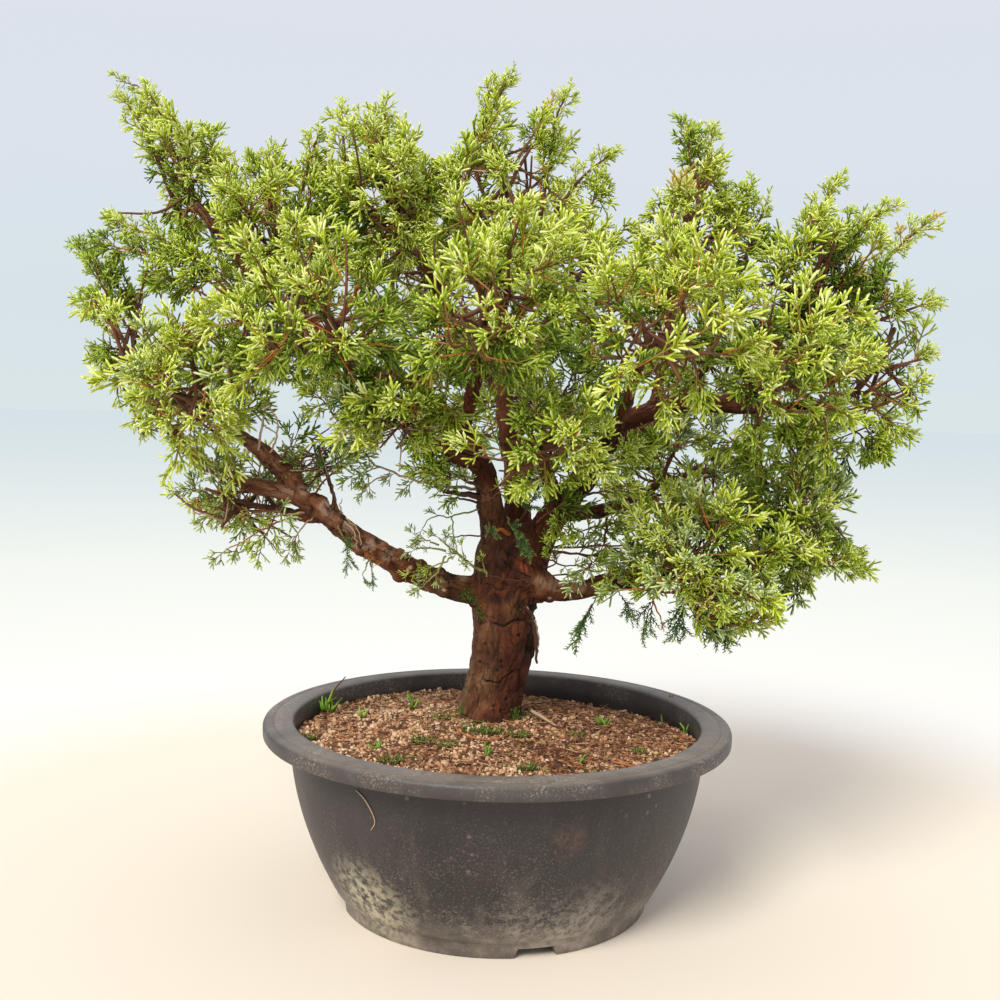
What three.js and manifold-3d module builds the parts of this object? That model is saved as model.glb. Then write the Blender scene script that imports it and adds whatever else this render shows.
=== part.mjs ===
// An Itoigawa juniper grown as a bonsai, in a round black training pot.
// Millimetres, +Z up. The model is laid out about the pot's axis, standing on z = 0, and the
// whole group is then moved so that its origin is the middle of its lowest, widest box.
import * as THREE from 'three';
import { mergeVertices } from 'three/addons/utils/BufferGeometryUtils.js';
import Module from 'manifold-3d';

const wasm = await Module();
wasm.setup();

// Driving dimensions
const CLEARANCE = 0.3; // left between pieces that touch
const POT_SIDES = 36;
const RIM_RADIUS = 135; // a training pot 270 across its rim
const RIM_TOP = 106; // height of the rim above the ground
const RIM_SKIRT = 8.4; // depth of the turned-down rim
const RIM_LIP = 2.4; // thickness of the skirt and of the rim's top
const RIM_ROUND = 1.6; // how far the rim's worn edge is rounded off
const RIM_INNER_RADIUS = 117.5;
const WALL = 2.6;
const WALL_TOP_RADIUS = 119.5; // outside of the wall, just under the rim
const WALL_BULGE = 1.9; // how soon the wall swings up from its belly
const BELLY_RADIUS = 93; // outside of the wall, just above the foot ring
const FOOT_RADIUS = 90; // outside of the foot ring
const FOOT_HEIGHT = 9.5;
const FOOT_WALL = 5;
const FLOOR_THICKNESS = 3;
const NOTCH_WIDTH = 24; // drain notches through the foot ring
const NOTCH_HEIGHT = 5.5;
const NOTCH_TAPER = 2;
const NOTCH_TURNS = [-75, 15, 105, 195]; // degrees about the pot's axis
const DRAIN_HOLE_RADIUS = 11;
const DRAIN_HOLE_RING = 48;
const DRAIN_HOLE_SIDES = 10;

const SOIL_RIM_DROP = 9.5; // soil level below the rim, at the wall
const SOIL_RINGS = [0, 20, 38, 54, 68, 80, 92, 104]; // the corners on its top
const SOIL_SEAT_RADIUS = 29; // flat under the trunk
const SOIL_MOUND_WIDTH = 60; // and then falls away over this far
const SOIL_SUNK = 5; // it has sunk at the back right, over this width
const SOIL_SUNK_WIDTH = 46;
const SOIL_SUNK_FROM = 62;
const SOIL_UNEVEN = 1.2;
const SOIL_WAVE = 9.5;
const TRUNK_FOOT = new THREE.Vector3(-4, 17, 103); // the flat cut at soil level

const TRUNK_RADIUS = 18.6;
const TRUNK_RINGS = 12;
const TRUNK_SIDES = 14;
const ROOT_FLARE = 2.6; // how much wider the foot is than the waist
const ROOT_FADE = 12; // how soon the flare is gone, going up
const ROOT_LOBE = 0.45; // how much the flare differs between its three roots
const FORK_AT = 0.8; // the swelling where the leaders part, as a share of the trunk's length
const FORK_SWELL = 3.2;
const FORK_REACH = 0.16;
const FORK_TOP = 0.26; // the trunk closes over within this share above the fork

const LIMB_RING_STEP = 20; // a limb's corners lie this far apart along it
const LIMB_SIDES = 8;
const BOUGH_SIDES = 5;
const KNOBBLE = 0.14; // how much a limb's thickness varies
const BOUGH_SAG = 0.07; // of its length
const BOUGH_BASE = 0.62; // of its carrier's radius
const BOUGH_THICKEST = 5.2;
const BOUGH_TIP = 2.8;
const BOUGH_DEPTH = 0.55; // how far from a mass's middle its bough ends, as a share of its reach
const KNOB_SEED = 7919;

const STEM_SIDES = 4;
const STEM_RINGS = 2;
const STEM_TIP_RADIUS = 2.4;
const STEM_PAST = 0.3; // how far beyond the mass's middle the stem goes on
const STEM_BEND = 0.4;
const STEM_SWERVES = [0, -9, 9, -18, 18]; // to either side, round a limb in its way
const TWIG_FIRST = 0.35; // the stretch of the stem that carries twigs
const TWIG_STRETCH = 0.6;
const TWIG_RADIUS = 2.2; // where a twig leaves its stem
const TWIG_TIP_RADIUS = 1.6;
const TWIG_SHARE = 0.55; // how far a twig runs to the edge of its mass
const SPRAYS_PER_TWIG = 4;
const SPRAY_ROOTS = [0.35, 0.55, 0.75, 0.93]; // where sprays leave a twig, along its length
const SPRAY_LONGEST = 66;
const SPRAY_SHORTEST = 42;
const SPRAY_LEAN = 0.8; // radians between a spray and the straight way out
const SPRAY_THICKNESS = 3.2;
const SPRAY_ROLLS = [0, 0.4, -0.4, 0.8, -0.8, 1.3]; // turns about its own length that are tried
const SPRAY_SIZES = [1, 0.86, 0.74, 0.62]; // of its full length, tried in turn
const LEAN_COST = 25; // of a radian off the lean, against one millimetre off the length
const TAKEN_COST = 40;
const TRIES_PER_SPRAY = 2;
const TRY_STRIDE = 7; // spreads the tries about the mass
const MOST_NEW_FACES = 60; // a spray that crosses its neighbours more than this is left out
const MOST_MASS_FACES = 475;
const FINGER_LENGTHS = [0.7, 0.86, 0.96, 1, 0.96, 0.86, 0.7]; // as shares of the spray's length
const FINGER_SPREAD = 18; // degrees between fingers
const NOTCH_DEPTH = 0.6; // where the notches between fingers end, as a share of the length
const BLADE_PEAK = 0.14; // where the blade is thickest
const CELL_MARGIN = 0.6; // half of the space between neighbouring masses
const EDGE_MARGIN = 1;
const REACH_SLACK = 1.06; // how far a spray's corners may pass its mass's reach
const LIMB_SPARE = 0.6; // between a limb and foliage that passes it
const TOUCH_VOLUME = 1; // a stem may brush its own bough's fattened end by this much
const SEED_STEP = 1009;

// The limbs that are traced by hand: points from root to tip, and the radius at each end.
const MAIN_LIMBS = {
  left_bough: {
    path: [[2, 8, 176], [-36, 2, 183], [-75, -10, 204], [-113, -16, 231]],
    radii: [9, 6.4],
  },
  left_upper_limb: {
    path: [[-113, -16, 231], [-128, -14, 250], [-150, -22, 268]],
    radii: [5.8, 4],
  },
  left_lower_limb: {
    path: [[-113, -16, 231], [-150, -22, 242], [-176, -18, 254], [-198, -12, 280]],
    radii: [5.4, 3],
  },
  left_leader: {
    path: [[0, 3, 196], [-7, -4, 226], [-12, -10, 250], [-26, -14, 272]],
    radii: [9.5, 6.4],
  },
  left_high_limb: {
    path: [[-26, -14, 272], [-56, -18, 298], [-88, -14, 308], [-118, 8, 336]],
    radii: [6, 3.4],
  },
  right_bough: {
    path: [[8, 6, 182], [42, -4, 181], [74, -12, 191], [112, -20, 195], [148, -22, 210]],
    radii: [7.2, 3.4],
  },
  right_leader: {
    path: [[14, 2, 196], [33, -2, 230], [50, -4, 252], [62, -6, 276]],
    radii: [10, 7],
  },
  right_high_limb: {
    path: [[62, -6, 276], [96, -8, 290], [134, -4, 290], [182, 0, 290]],
    radii: [6.6, 3.2],
  },
  centre_leader: {
    path: [[8, 12, 198], [8, 18, 240], [-2, 12, 300], [-4, 2, 372]],
    radii: [9, 3.4],
  },
};

// The masses of foliage: middle and reach of each, the limb that carries it, where along that
// limb its own bough leaves (1 is the limb's tip, with no bough between), and its sprays.
const MASSES = {
  left_tip: { centre: [-212, 0, 318], reach: [42, 55, 62], limb: 'left_lower_limb', at: 1, sprays: 11 },
  left_low: { centre: [-150, -10, 226], reach: [50, 48, 34], limb: 'left_bough', at: 0.88, sprays: 9 },
  left_shoulder: {
    centre: [-160, -58, 298],
    reach: [50, 50, 46],
    limb: 'left_upper_limb',
    at: 1,
    sprays: 11,
  },
  left_gap: { centre: [-104, -12, 256], reach: [30, 30, 27], limb: 'left_bough', at: 0.78, sprays: 5 },
  left_spike: { centre: [-200, 8, 418], reach: [40, 50, 56], limb: 'left_high_limb', at: 0.72, sprays: 11 },
  left_high: { centre: [-132, 0, 385], reach: [50, 58, 56], limb: 'left_high_limb', at: 1, sprays: 12 },
  top_left: { centre: [-72, 0, 405], reach: [46, 58, 54], limb: 'centre_leader', at: 0.6, sprays: 12 },
  top: { centre: [-4, -6, 412], reach: [46, 60, 66], limb: 'centre_leader', at: 1, sprays: 13 },
  top_right: { centre: [100, 0, 398], reach: [52, 60, 56], limb: 'right_high_limb', at: 0.2, sprays: 12 },
  upper_right: { centre: [176, 6, 368], reach: [46, 55, 60], limb: 'right_high_limb', at: 0.6, sprays: 12 },
  right_tip: { centre: [212, 2, 326], reach: [42, 54, 80], limb: 'right_high_limb', at: 1, sprays: 12 },
  right_low: { centre: [178, -8, 222], reach: [46, 54, 46], limb: 'right_bough', at: 1, sprays: 11 },
  right_hanging: {
    centre: [110, -42, 200],
    reach: [52, 48, 50],
    limb: 'right_bough',
    at: 0.36,
    sprays: 12,
  },
  front_left: { centre: [-92, -92, 330], reach: [56, 56, 50], limb: 'left_high_limb', at: 0.5, sprays: 12 },
  front: { centre: [-10, -106, 338], reach: [52, 52, 54], limb: 'left_leader', at: 0.95, sprays: 12 },
  front_right: { centre: [72, -102, 325], reach: [54, 54, 52], limb: 'right_leader', at: 0.9, sprays: 12 },
  right_front: {
    centre: [144, -68, 304],
    reach: [50, 54, 50],
    limb: 'right_high_limb',
    at: 0.4,
    sprays: 12,
  },
  front_low: { centre: [14, -72, 270], reach: [48, 42, 32], limb: 'right_leader', at: 0.45, sprays: 9 },
  left_low_inner: { centre: [-60, -60, 284], reach: [38, 42, 30], limb: 'left_leader', at: 0.7, sprays: 8 },
  back_left: { centre: [-150, 84, 322], reach: [60, 62, 62], limb: 'left_high_limb', at: 0.35, sprays: 13 },
  back_top_left: {
    centre: [-62, 104, 380],
    reach: [58, 58, 56],
    limb: 'centre_leader',
    at: 0.55,
    sprays: 12,
  },
  back_top_right: {
    centre: [50, 108, 378],
    reach: [60, 58, 58],
    limb: 'centre_leader',
    at: 0.65,
    sprays: 12,
  },
  back_right: { centre: [146, 84, 330], reach: [58, 60, 66], limb: 'right_leader', at: 0.85, sprays: 13 },
  back_low: { centre: [10, 114, 296], reach: [72, 52, 46], limb: 'centre_leader', at: 0.3, sprays: 12 },
  back_low_right: {
    centre: [118, 68, 246],
    reach: [58, 54, 46],
    limb: 'right_leader',
    at: 0.35,
    sprays: 11,
  },
};

const MATERIALS = {
  pot: new THREE.MeshStandardMaterial({ color: 0x45413e, roughness: 0.55, metalness: 0 }),
  soil: new THREE.MeshStandardMaterial({ color: 0x8a6040, roughness: 0.95, metalness: 0 }),
  bark: new THREE.MeshStandardMaterial({ color: 0x7a4a38, roughness: 0.85, metalness: 0 }),
  foliage: new THREE.MeshStandardMaterial({ color: 0x7f9f3a, roughness: 0.6, metalness: 0 }),
};

// The same numbers on every run
function seededDraws(seed) {
  let state = seed >>> 0;
  return () => {
    state = (Math.imul(state, 1664525) + 1013904223) >>> 0;
    return state / 4294967296;
  };
}

// Joining and cutting
function solidOf(geometry) {
  const bare = geometry.clone();
  bare.deleteAttribute('normal');
  bare.deleteAttribute('uv');
  const merged = mergeVertices(bare, 1e-4);
  return new wasm.Manifold(new wasm.Mesh({
    numProp: 3,
    vertProperties: new Float32Array(merged.attributes.position.array),
    triVerts: new Uint32Array(merged.index.array),
  }));
}

// One body: scraps that came loose are dropped, and a sealed hollow is filled
function largestBody(solid) {
  const bodies = solid.decompose();
  return bodies.reduce((best, body) => (body.volume() > best.volume() ? body : best));
}

function geometryOf(solid) {
  const mesh = solid.getMesh();
  const geometry = new THREE.BufferGeometry();
  geometry.setAttribute('position', new THREE.BufferAttribute(new Float32Array(mesh.vertProperties), 3));
  geometry.setIndex(new THREE.BufferAttribute(new Uint32Array(mesh.triVerts), 1));
  geometry.computeVertexNormals();
  return geometry;
}

function vector([x, y, z]) {
  return new THREE.Vector3(x, y, z);
}

// A cylinder bent along a curve, with its own radius at each place, made fatter all over by extra
function bentCylinder(curve, radiusAt, sides, rings, extra = 0) {
  const geometry = new THREE.CylinderGeometry(1, 1, 1, sides, rings);
  const frames = curve.computeFrenetFrames(rings, false);
  const position = geometry.attributes.position;
  for (let index = 0; index < position.count; index += 1) {
    const ring = Math.round((position.getY(index) + 0.5) * rings);
    const along = ring / rings;
    const [x, z] = [position.getX(index), position.getZ(index)];
    const angle = Math.atan2(z, x);
    const radius = (radiusAt(along, angle) + extra) * Math.hypot(x, z);
    const past = extra * (Number(ring === rings) - Number(ring === 0));
    const point = curve.getPointAt(along)
      .addScaledVector(frames.tangents[ring], past)
      .addScaledVector(frames.normals[ring], radius * Math.cos(angle))
      .addScaledVector(frames.binormals[ring], -radius * Math.sin(angle));
    position.setXYZ(index, point.x, point.y, point.z);
  }
  return geometry;
}

// The pot
function potWallRadius(height) {
  const skirtBottom = RIM_TOP - RIM_SKIRT;
  const share = THREE.MathUtils.clamp((height - FOOT_HEIGHT) / (skirtBottom - FOOT_HEIGHT), 0, 1);
  return BELLY_RADIUS + (WALL_TOP_RADIUS - BELLY_RADIUS) * (1 - (1 - share) ** WALL_BULGE);
}

function wallLine(offset, bottom, top, steps) {
  return Array.from({ length: steps + 1 }, (_, step) => {
    const height = bottom + ((top - bottom) * step) / steps;
    return new THREE.Vector2(potWallRadius(height) - offset, height);
  });
}

function latheSolid(profile, sides) {
  const turned = new THREE.LatheGeometry(profile, sides).rotateX(Math.PI / 2);
  return solidOf(turned);
}

function potGeometry() {
  const floorTop = FOOT_HEIGHT + FLOOR_THICKNESS;
  const skirtBottom = RIM_TOP - RIM_SKIRT;
  const profile = [
    new THREE.Vector2(0, FOOT_HEIGHT),
    new THREE.Vector2(FOOT_RADIUS - FOOT_WALL, FOOT_HEIGHT - 1),
    new THREE.Vector2(FOOT_RADIUS - FOOT_WALL, 0),
    new THREE.Vector2(FOOT_RADIUS - 1, 0),
    new THREE.Vector2(FOOT_RADIUS + 0.8, FOOT_HEIGHT),
    ...wallLine(0, FOOT_HEIGHT + 1, RIM_TOP - RIM_LIP, 5),
    new THREE.Vector2(RIM_RADIUS - RIM_LIP, RIM_TOP - RIM_LIP),
    new THREE.Vector2(RIM_RADIUS - RIM_LIP, skirtBottom),
    new THREE.Vector2(RIM_RADIUS, skirtBottom),
    new THREE.Vector2(RIM_RADIUS, RIM_TOP - RIM_ROUND),
    new THREE.Vector2(RIM_RADIUS - RIM_ROUND, RIM_TOP),
    new THREE.Vector2(RIM_INNER_RADIUS, RIM_TOP),
    ...wallLine(WALL, floorTop, skirtBottom, 3).reverse(),
    new THREE.Vector2(0, floorTop),
  ];
  const notches = NOTCH_TURNS.map((turn) => {
    const outline = new THREE.Shape([
      new THREE.Vector2(-NOTCH_WIDTH / 2, -1),
      new THREE.Vector2(NOTCH_WIDTH / 2, -1),
      new THREE.Vector2(NOTCH_WIDTH / 2 - NOTCH_TAPER, NOTCH_HEIGHT),
      new THREE.Vector2(NOTCH_TAPER - NOTCH_WIDTH / 2, NOTCH_HEIGHT),
    ]);
    const block = new THREE.ExtrudeGeometry(outline, { depth: 4 * FOOT_WALL, bevelEnabled: false });
    block.rotateX(Math.PI / 2).translate(0, 2 * FOOT_WALL, 0).translate(0, FOOT_RADIUS, 0);
    return solidOf(block.rotateZ(THREE.MathUtils.degToRad(turn - 90)));
  });
  const drains = NOTCH_TURNS.map((turn) => {
    const angle = THREE.MathUtils.degToRad(turn);
    const drill = new THREE.CylinderGeometry(
      DRAIN_HOLE_RADIUS,
      DRAIN_HOLE_RADIUS,
      4 * FLOOR_THICKNESS + 2,
      DRAIN_HOLE_SIDES,
    );
    drill.rotateX(Math.PI / 2).translate(
      DRAIN_HOLE_RING * Math.cos(angle),
      DRAIN_HOLE_RING * Math.sin(angle),
      FOOT_HEIGHT,
    );
    return solidOf(drill);
  });
  const cuts = wasm.Manifold.union([...notches, ...drains]);
  return geometryOf(latheSolid(profile, POT_SIDES).subtract(cuts));
}

// The soil's level: a mound round the trunk, gently uneven, and sunk at the back right
function soilLevel(x, y) {
  const { clamp } = THREE.MathUtils;
  const seat = TRUNK_FOOT.z - CLEARANCE;
  const level = RIM_TOP - SOIL_RIM_DROP;
  const fromTrunk = Math.hypot(x - TRUNK_FOOT.x, y - TRUNK_FOOT.y);
  const mound = clamp(1 - (fromTrunk - SOIL_SEAT_RADIUS) / SOIL_MOUND_WIDTH, 0, 1) ** 1.3;
  const sunk = clamp((0.6 * x + 0.8 * y - SOIL_SUNK_FROM) / SOIL_SUNK_WIDTH, 0, 1);
  const uneven = Math.sin(x / SOIL_WAVE + 1) * Math.sin(y / SOIL_WAVE + 2) * (1 - mound);
  return level + (seat - level) * mound - SOIL_SUNK * sunk + SOIL_UNEVEN * uneven;
}

// It fills the pot up to its wall
function soilGeometry() {
  const bottom = FOOT_HEIGHT + FLOOR_THICKNESS + CLEARANCE;
  const top = RIM_TOP - SOIL_RIM_DROP;
  const wall = wallLine(WALL + CLEARANCE, bottom, top, 3);
  const [belowTop, atTop] = wall.slice(-2);
  const profile = [
    new THREE.Vector2(0, bottom),
    ...wall,
    ...SOIL_RINGS.toReversed().map((radius) => new THREE.Vector2(radius, top)),
  ];
  const turned = new THREE.LatheGeometry(profile, POT_SIDES).rotateX(Math.PI / 2);
  const position = turned.attributes.position;
  for (let index = 0; index < position.count; index += 1) {
    const [x, y] = [position.getX(index), position.getY(index)];
    if (position.getZ(index) > top - 1) {
      const height = soilLevel(x, y);
      const radius = Math.hypot(x, y);
      const up = (height - belowTop.y) / (atTop.y - belowTop.y);
      const widest = THREE.MathUtils.lerp(belowTop.x, atTop.x, up);
      const share = radius > widest ? widest / radius : 1;
      position.setXYZ(index, x * share, y * share, height);
    }
  }
  return geometryOf(solidOf(turned));
}

// The trunk: flared at the soil, waisted, and swollen again where it forks
const trunkCurve = new THREE.CatmullRomCurve3(
  [TRUNK_FOOT, vector([2, 13, 140]), vector([2, 9, 173]), vector([7, 5, 204]), vector([9, 4, 221])],
  false,
  'centripetal',
);

function trunkRadius(along, angle) {
  const lobes = 1 + ROOT_LOBE * Math.cos(3 * angle + 0.8);
  const flare = ROOT_FLARE * Math.exp(-along * ROOT_FADE) * lobes;
  const fork = FORK_SWELL * Math.exp(-(((along - FORK_AT) / FORK_REACH) ** 2));
  const above = Math.max(0, along - FORK_AT) / FORK_TOP;
  const closing = Math.sqrt(Math.max(0, 1 - above ** 2));
  return (TRUNK_RADIUS + flare + fork * (1 + 0.5 * Math.cos(2 * angle))) * closing;
}

// Its lowest ring is made level, for the flat cut
function trunkGeometry(extra = 0) {
  const bent = bentCylinder(trunkCurve, trunkRadius, TRUNK_SIDES, TRUNK_RINGS, extra);
  const position = bent.attributes.position;
  const nearFoot = TRUNK_FOOT.z + trunkCurve.getLength() / TRUNK_RINGS / 2;
  for (let index = 0; index < position.count; index += 1) {
    if (position.getZ(index) < nearFoot) {
      position.setZ(index, TRUNK_FOOT.z);
    }
  }
  return bent;
}

// Limbs: every limb knows its curve, its radii, and how to be built a little fatter
function makeLimb(name, points, radii, sides) {
  const curve = new THREE.CatmullRomCurve3(points, false, 'centripetal');
  const length = curve.getLength();
  const rings = Math.max(3, Math.round(length / LIMB_RING_STEP));
  const knobs = seededDraws(name.length * KNOB_SEED + Math.round(length * 10));
  const swell = Array.from({ length: rings + 1 }, () => 1 + KNOBBLE * (knobs() - 0.5));
  const radiusAt = (along) => {
    const place = along * rings;
    const low = Math.min(rings - 1, Math.floor(place));
    const swelling = THREE.MathUtils.lerp(swell[low], swell[low + 1], place - low);
    return THREE.MathUtils.lerp(radii[0], radii[1], along) * swelling;
  };
  const build = (extra) => solidOf(bentCylinder(curve, radiusAt, sides, rings, extra));
  return { name, curve, radiusAt, build };
}

const trunk = {
  name: 'trunk',
  curve: trunkCurve,
  radiusAt: (along) => trunkRadius(along, 0),
  build: (extra) => solidOf(trunkGeometry(extra)),
};

const limbs = { trunk };
for (const [name, { path, radii }] of Object.entries(MAIN_LIMBS)) {
  limbs[name] = makeLimb(name, path.map(vector), radii, LIMB_SIDES);
}

// Where a mass ends along a direction
function reachAlong(mass, direction) {
  const [x, y, z] = mass.reach;
  return Math.hypot(x * direction.x, y * direction.y, z * direction.z);
}

// How far out a point lies: 1 is the edge of the mass's reach
function depthIn(mass, point) {
  const offset = point.clone().sub(mass.middle);
  const [x, y, z] = mass.reach;
  return Math.hypot(offset.x / x, offset.y / y, offset.z / z);
}

// A mass that is not at a limb's tip has a bough of its own, which rises to it in a bow
for (const [name, mass] of Object.entries(MASSES)) {
  mass.middle = vector(mass.centre);
  if (mass.at === 1) {
    mass.bough = limbs[mass.limb];
  } else {
    const carrier = limbs[mass.limb];
    const start = carrier.curve.getPointAt(mass.at);
    const tip = mass.middle.clone().lerp(start, BOUGH_DEPTH / depthIn(mass, start));
    const bow = start.clone().lerp(tip, 0.5);
    bow.z -= BOUGH_SAG * start.distanceTo(tip);
    const base = Math.min(BOUGH_THICKEST, BOUGH_BASE * carrier.radiusAt(mass.at));
    const radii = [base, Math.min(BOUGH_TIP, base)];
    mass.bough = makeLimb(`${name}_bough`, [start, bow, tip], radii, BOUGH_SIDES);
    limbs[mass.bough.name] = mass.bough;
  }
}

// Each mass keeps to its own space: the side of a plane set between it and each neighbour
for (const mass of Object.values(MASSES)) {
  mass.walls = [];
  for (const other of Object.values(MASSES)) {
    const direction = other.middle.clone().sub(mass.middle);
    const distance = direction.length();
    if (other === mass) {
      continue;
    }
    direction.normalize();
    const [own, theirs] = [reachAlong(mass, direction), reachAlong(other, direction)];
    if (own + theirs > distance - 2 * CELL_MARGIN) {
      const limit = direction.dot(mass.middle) + (distance * own) / (own + theirs) - CELL_MARGIN;
      mass.walls.push({ direction, limit });
    }
  }
}

function insideCell(mass, points) {
  return points.every((point) => depthIn(mass, point) <= REACH_SLACK
    && mass.walls.every(({ direction, limit }) => direction.dot(point) <= limit));
}

// The space that the limbs take up, with a little to spare
const limbSpace = wasm.Manifold.union(Object.values(limbs).map((limb) => limb.build(LIMB_SPARE)));

function clearOfLimbs(solid) {
  return solid.intersect(limbSpace).isEmpty();
}

// A three-sided twig from one point to another
function twigSolid({ start, end }) {
  const twig = new THREE.CylinderGeometry(TWIG_TIP_RADIUS, TWIG_RADIUS, start.distanceTo(end), 3);
  const upright = new THREE.Vector3(0, 1, 0);
  const heading = end.clone().sub(start).normalize();
  twig.applyQuaternion(new THREE.Quaternion().setFromUnitVectors(upright, heading));
  const middle = start.clone().lerp(end, 0.5);
  return solidOf(twig.translate(middle.x, middle.y, middle.z));
}

// The outline of a fan spray: a toothed blade whose fingers spread from its root
function bladeOutline() {
  const at = (degrees, length) => {
    const angle = THREE.MathUtils.degToRad(degrees);
    return new THREE.Vector2(length * Math.cos(angle), length * Math.sin(angle));
  };
  const corners = [new THREE.Vector2(0, 0)];
  FINGER_LENGTHS.forEach((length, finger) => {
    const turn = (finger - (FINGER_LENGTHS.length - 1) / 2) * FINGER_SPREAD;
    if (finger > 0) {
      corners.push(at(turn - FINGER_SPREAD / 2, NOTCH_DEPTH));
    }
    corners.push(at(turn, length));
  });
  return corners;
}

const BLADE_OUTLINE = bladeOutline();

// Where a spray's outline and its two raised peaks come to lie
function sprayPoints(root, forward, across, length) {
  const normal = forward.clone().cross(across);
  const place = (x, y, z) => root.clone()
    .addScaledVector(forward, x)
    .addScaledVector(across, y)
    .addScaledVector(normal, z);
  const rim = BLADE_OUTLINE.map((corner) => place(corner.x * length, corner.y * length, 0));
  const peaks = [1, -1].map((side) => place(BLADE_PEAK * length, 0, (side * SPRAY_THICKNESS) / 2));
  return { rim, peaks };
}

// A sphere of two bands has one ring of corners, which are drawn out to the blade's outline
function spraySolid({ rim, peaks }) {
  const blade = new THREE.SphereGeometry(1, rim.length, 2);
  const position = blade.attributes.position;
  for (let index = 0; index < position.count; index += 1) {
    const [x, y, z] = [position.getX(index), position.getY(index), position.getZ(index)];
    const turn = (Math.atan2(-z, x) / (2 * Math.PI) + 1) % 1;
    const corner = Math.round(turn * rim.length) % rim.length;
    const point = Math.abs(y) > 0.5 ? peaks[y > 0 ? 0 : 1] : rim[corner];
    position.setXYZ(index, point.x, point.y, point.z);
  }
  return solidOf(blade);
}

// Even directions about a mass, by the golden turn
function evenDirection(index, count, start) {
  const height = 1 - (2 * (index + 0.5)) / count;
  const turn = start + index * Math.PI * (3 - Math.sqrt(5));
  const ring = Math.sqrt(1 - height * height);
  return new THREE.Vector3(ring * Math.cos(turn), ring * Math.sin(turn), height);
}

// The furthest point of a mass's space on the way from a place inside it to its edge
function edgeOf(mass, from, direction) {
  const edge = mass.middle.clone().add(direction.clone().multiply(vector(mass.reach)));
  const run = edge.sub(from);
  let share = 1;
  for (const { direction: wall, limit } of mass.walls) {
    const rise = wall.dot(run);
    if (rise > 1e-6) {
      share = Math.min(share, (limit - EDGE_MARGIN - wall.dot(from)) / rise);
    }
  }
  return from.clone().addScaledVector(run, Math.max(share, 0.1));
}

// The place on the twigs from which a spray best leans out to its edge point
function bestRoot(twigs, edge, outward) {
  let best = { score: Infinity };
  for (const twig of twigs) {
    for (const share of SPRAY_ROOTS) {
      const root = twig.start.clone().lerp(twig.end, share);
      const run = edge.clone().sub(root);
      const length = run.length();
      const misfit = Math.max(0, length - SPRAY_LONGEST) + Math.max(0, SPRAY_SHORTEST - length);
      const taken = twig.taken.has(share) ? TAKEN_COST : 0;
      const score = LEAN_COST * Math.abs(run.angleTo(outward) - SPRAY_LEAN) + misfit + taken;
      if (score < best.score) {
        best = { score, twig, share, root, run };
      }
    }
  }
  return best;
}

// Adds the piece that crosses what is there least, if any is clean enough
function addCleanest(body, candidates) {
  let best = null;
  for (const candidate of candidates) {
    const joined = body.add(candidate);
    if (best === null || joined.numTri() < best.numTri()) {
      best = joined;
    }
  }
  const clean = best !== null && best.numTri() - body.numTri() <= MOST_NEW_FACES;
  return clean ? best : null;
}

// The stem carries on from its bough's tip, and swerves to either side of a limb in its way
function clearStem(mass) {
  const heading = mass.bough.curve.getTangentAt(1);
  const root = mass.bough.curve.getPointAt(1).addScaledVector(heading, CLEARANCE);
  const radius = (along) => THREE.MathUtils.lerp(mass.bough.radiusAt(1), STEM_TIP_RADIUS, along);
  const stems = STEM_SWERVES.map((swerve) => {
    const end = mass.middle.clone().lerp(root, -STEM_PAST);
    end.add(new THREE.Vector3(0, swerve, -Math.abs(swerve)));
    const bend = root.clone().addScaledVector(heading, STEM_BEND * root.distanceTo(end));
    const curve = new THREE.QuadraticBezierCurve3(root, bend, end);
    return { curve, solid: solidOf(bentCylinder(curve, radius, STEM_SIDES, STEM_RINGS)) };
  });
  return stems.find(({ solid }) => solid.intersect(limbSpace).volume() < TOUCH_VOLUME) ?? stems[0];
}

// One mass: a stem from its bough's tip, twigs along it, and on them sprays that reach the edge
// of the mass's space; a twig or spray that would leave the space, touch a limb or tangle with
// its neighbours is skipped
function growMass(mass, seed) {
  const draw = seededDraws(seed);
  const { curve: stemCurve, solid: stem } = clearStem(mass);
  let body = stem;
  const twigCount = Math.ceil(mass.sprays / SPRAYS_PER_TWIG);
  const start = 2 * Math.PI * draw();
  const twigs = [];
  for (let index = 0; index < twigCount; index += 1) {
    const from = stemCurve.getPoint(TWIG_FIRST + (TWIG_STRETCH * (index + 0.5)) / twigCount);
    const edge = edgeOf(mass, from, evenDirection(index, twigCount, start));
    const twig = { start: from, end: from.clone().lerp(edge, TWIG_SHARE), taken: new Set() };
    const solid = twigSolid(twig);
    if (clearOfLimbs(solid)) {
      twigs.push(twig);
      body = body.add(solid);
    }
  }
  const tries = TRIES_PER_SPRAY * mass.sprays;
  for (let index = 0; index < tries && body.numTri() < MOST_MASS_FACES; index += 1) {
    const direction = evenDirection((index * TRY_STRIDE) % tries, tries, start + 1);
    const edge = edgeOf(mass, mass.middle, direction);
    const { twig, share, root: place, run } = bestRoot(twigs, edge, direction);
    const aim = run.clone().normalize();
    const reach = Math.min(run.length(), SPRAY_LONGEST);
    const across = aim.clone().cross(direction).normalize();
    for (const size of SPRAY_SIZES) {
      const candidates = SPRAY_ROLLS.map((roll) => across.clone().applyAxisAngle(aim, roll))
        .map((side) => sprayPoints(place, aim, side, size * reach))
        .filter(({ rim }) => insideCell(mass, rim))
        .map(spraySolid)
        .filter(clearOfLimbs);
      const joined = addCleanest(body, candidates);
      if (joined !== null) {
        body = joined;
        twig.taken.add(share);
        break;
      }
    }
  }
  return largestBody(body);
}

// The whole plant
const plant = new THREE.Group();

function addPiece(name, geometry, material) {
  const mesh = new THREE.Mesh(geometry, material);
  mesh.name = name;
  plant.add(mesh);
}

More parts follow.
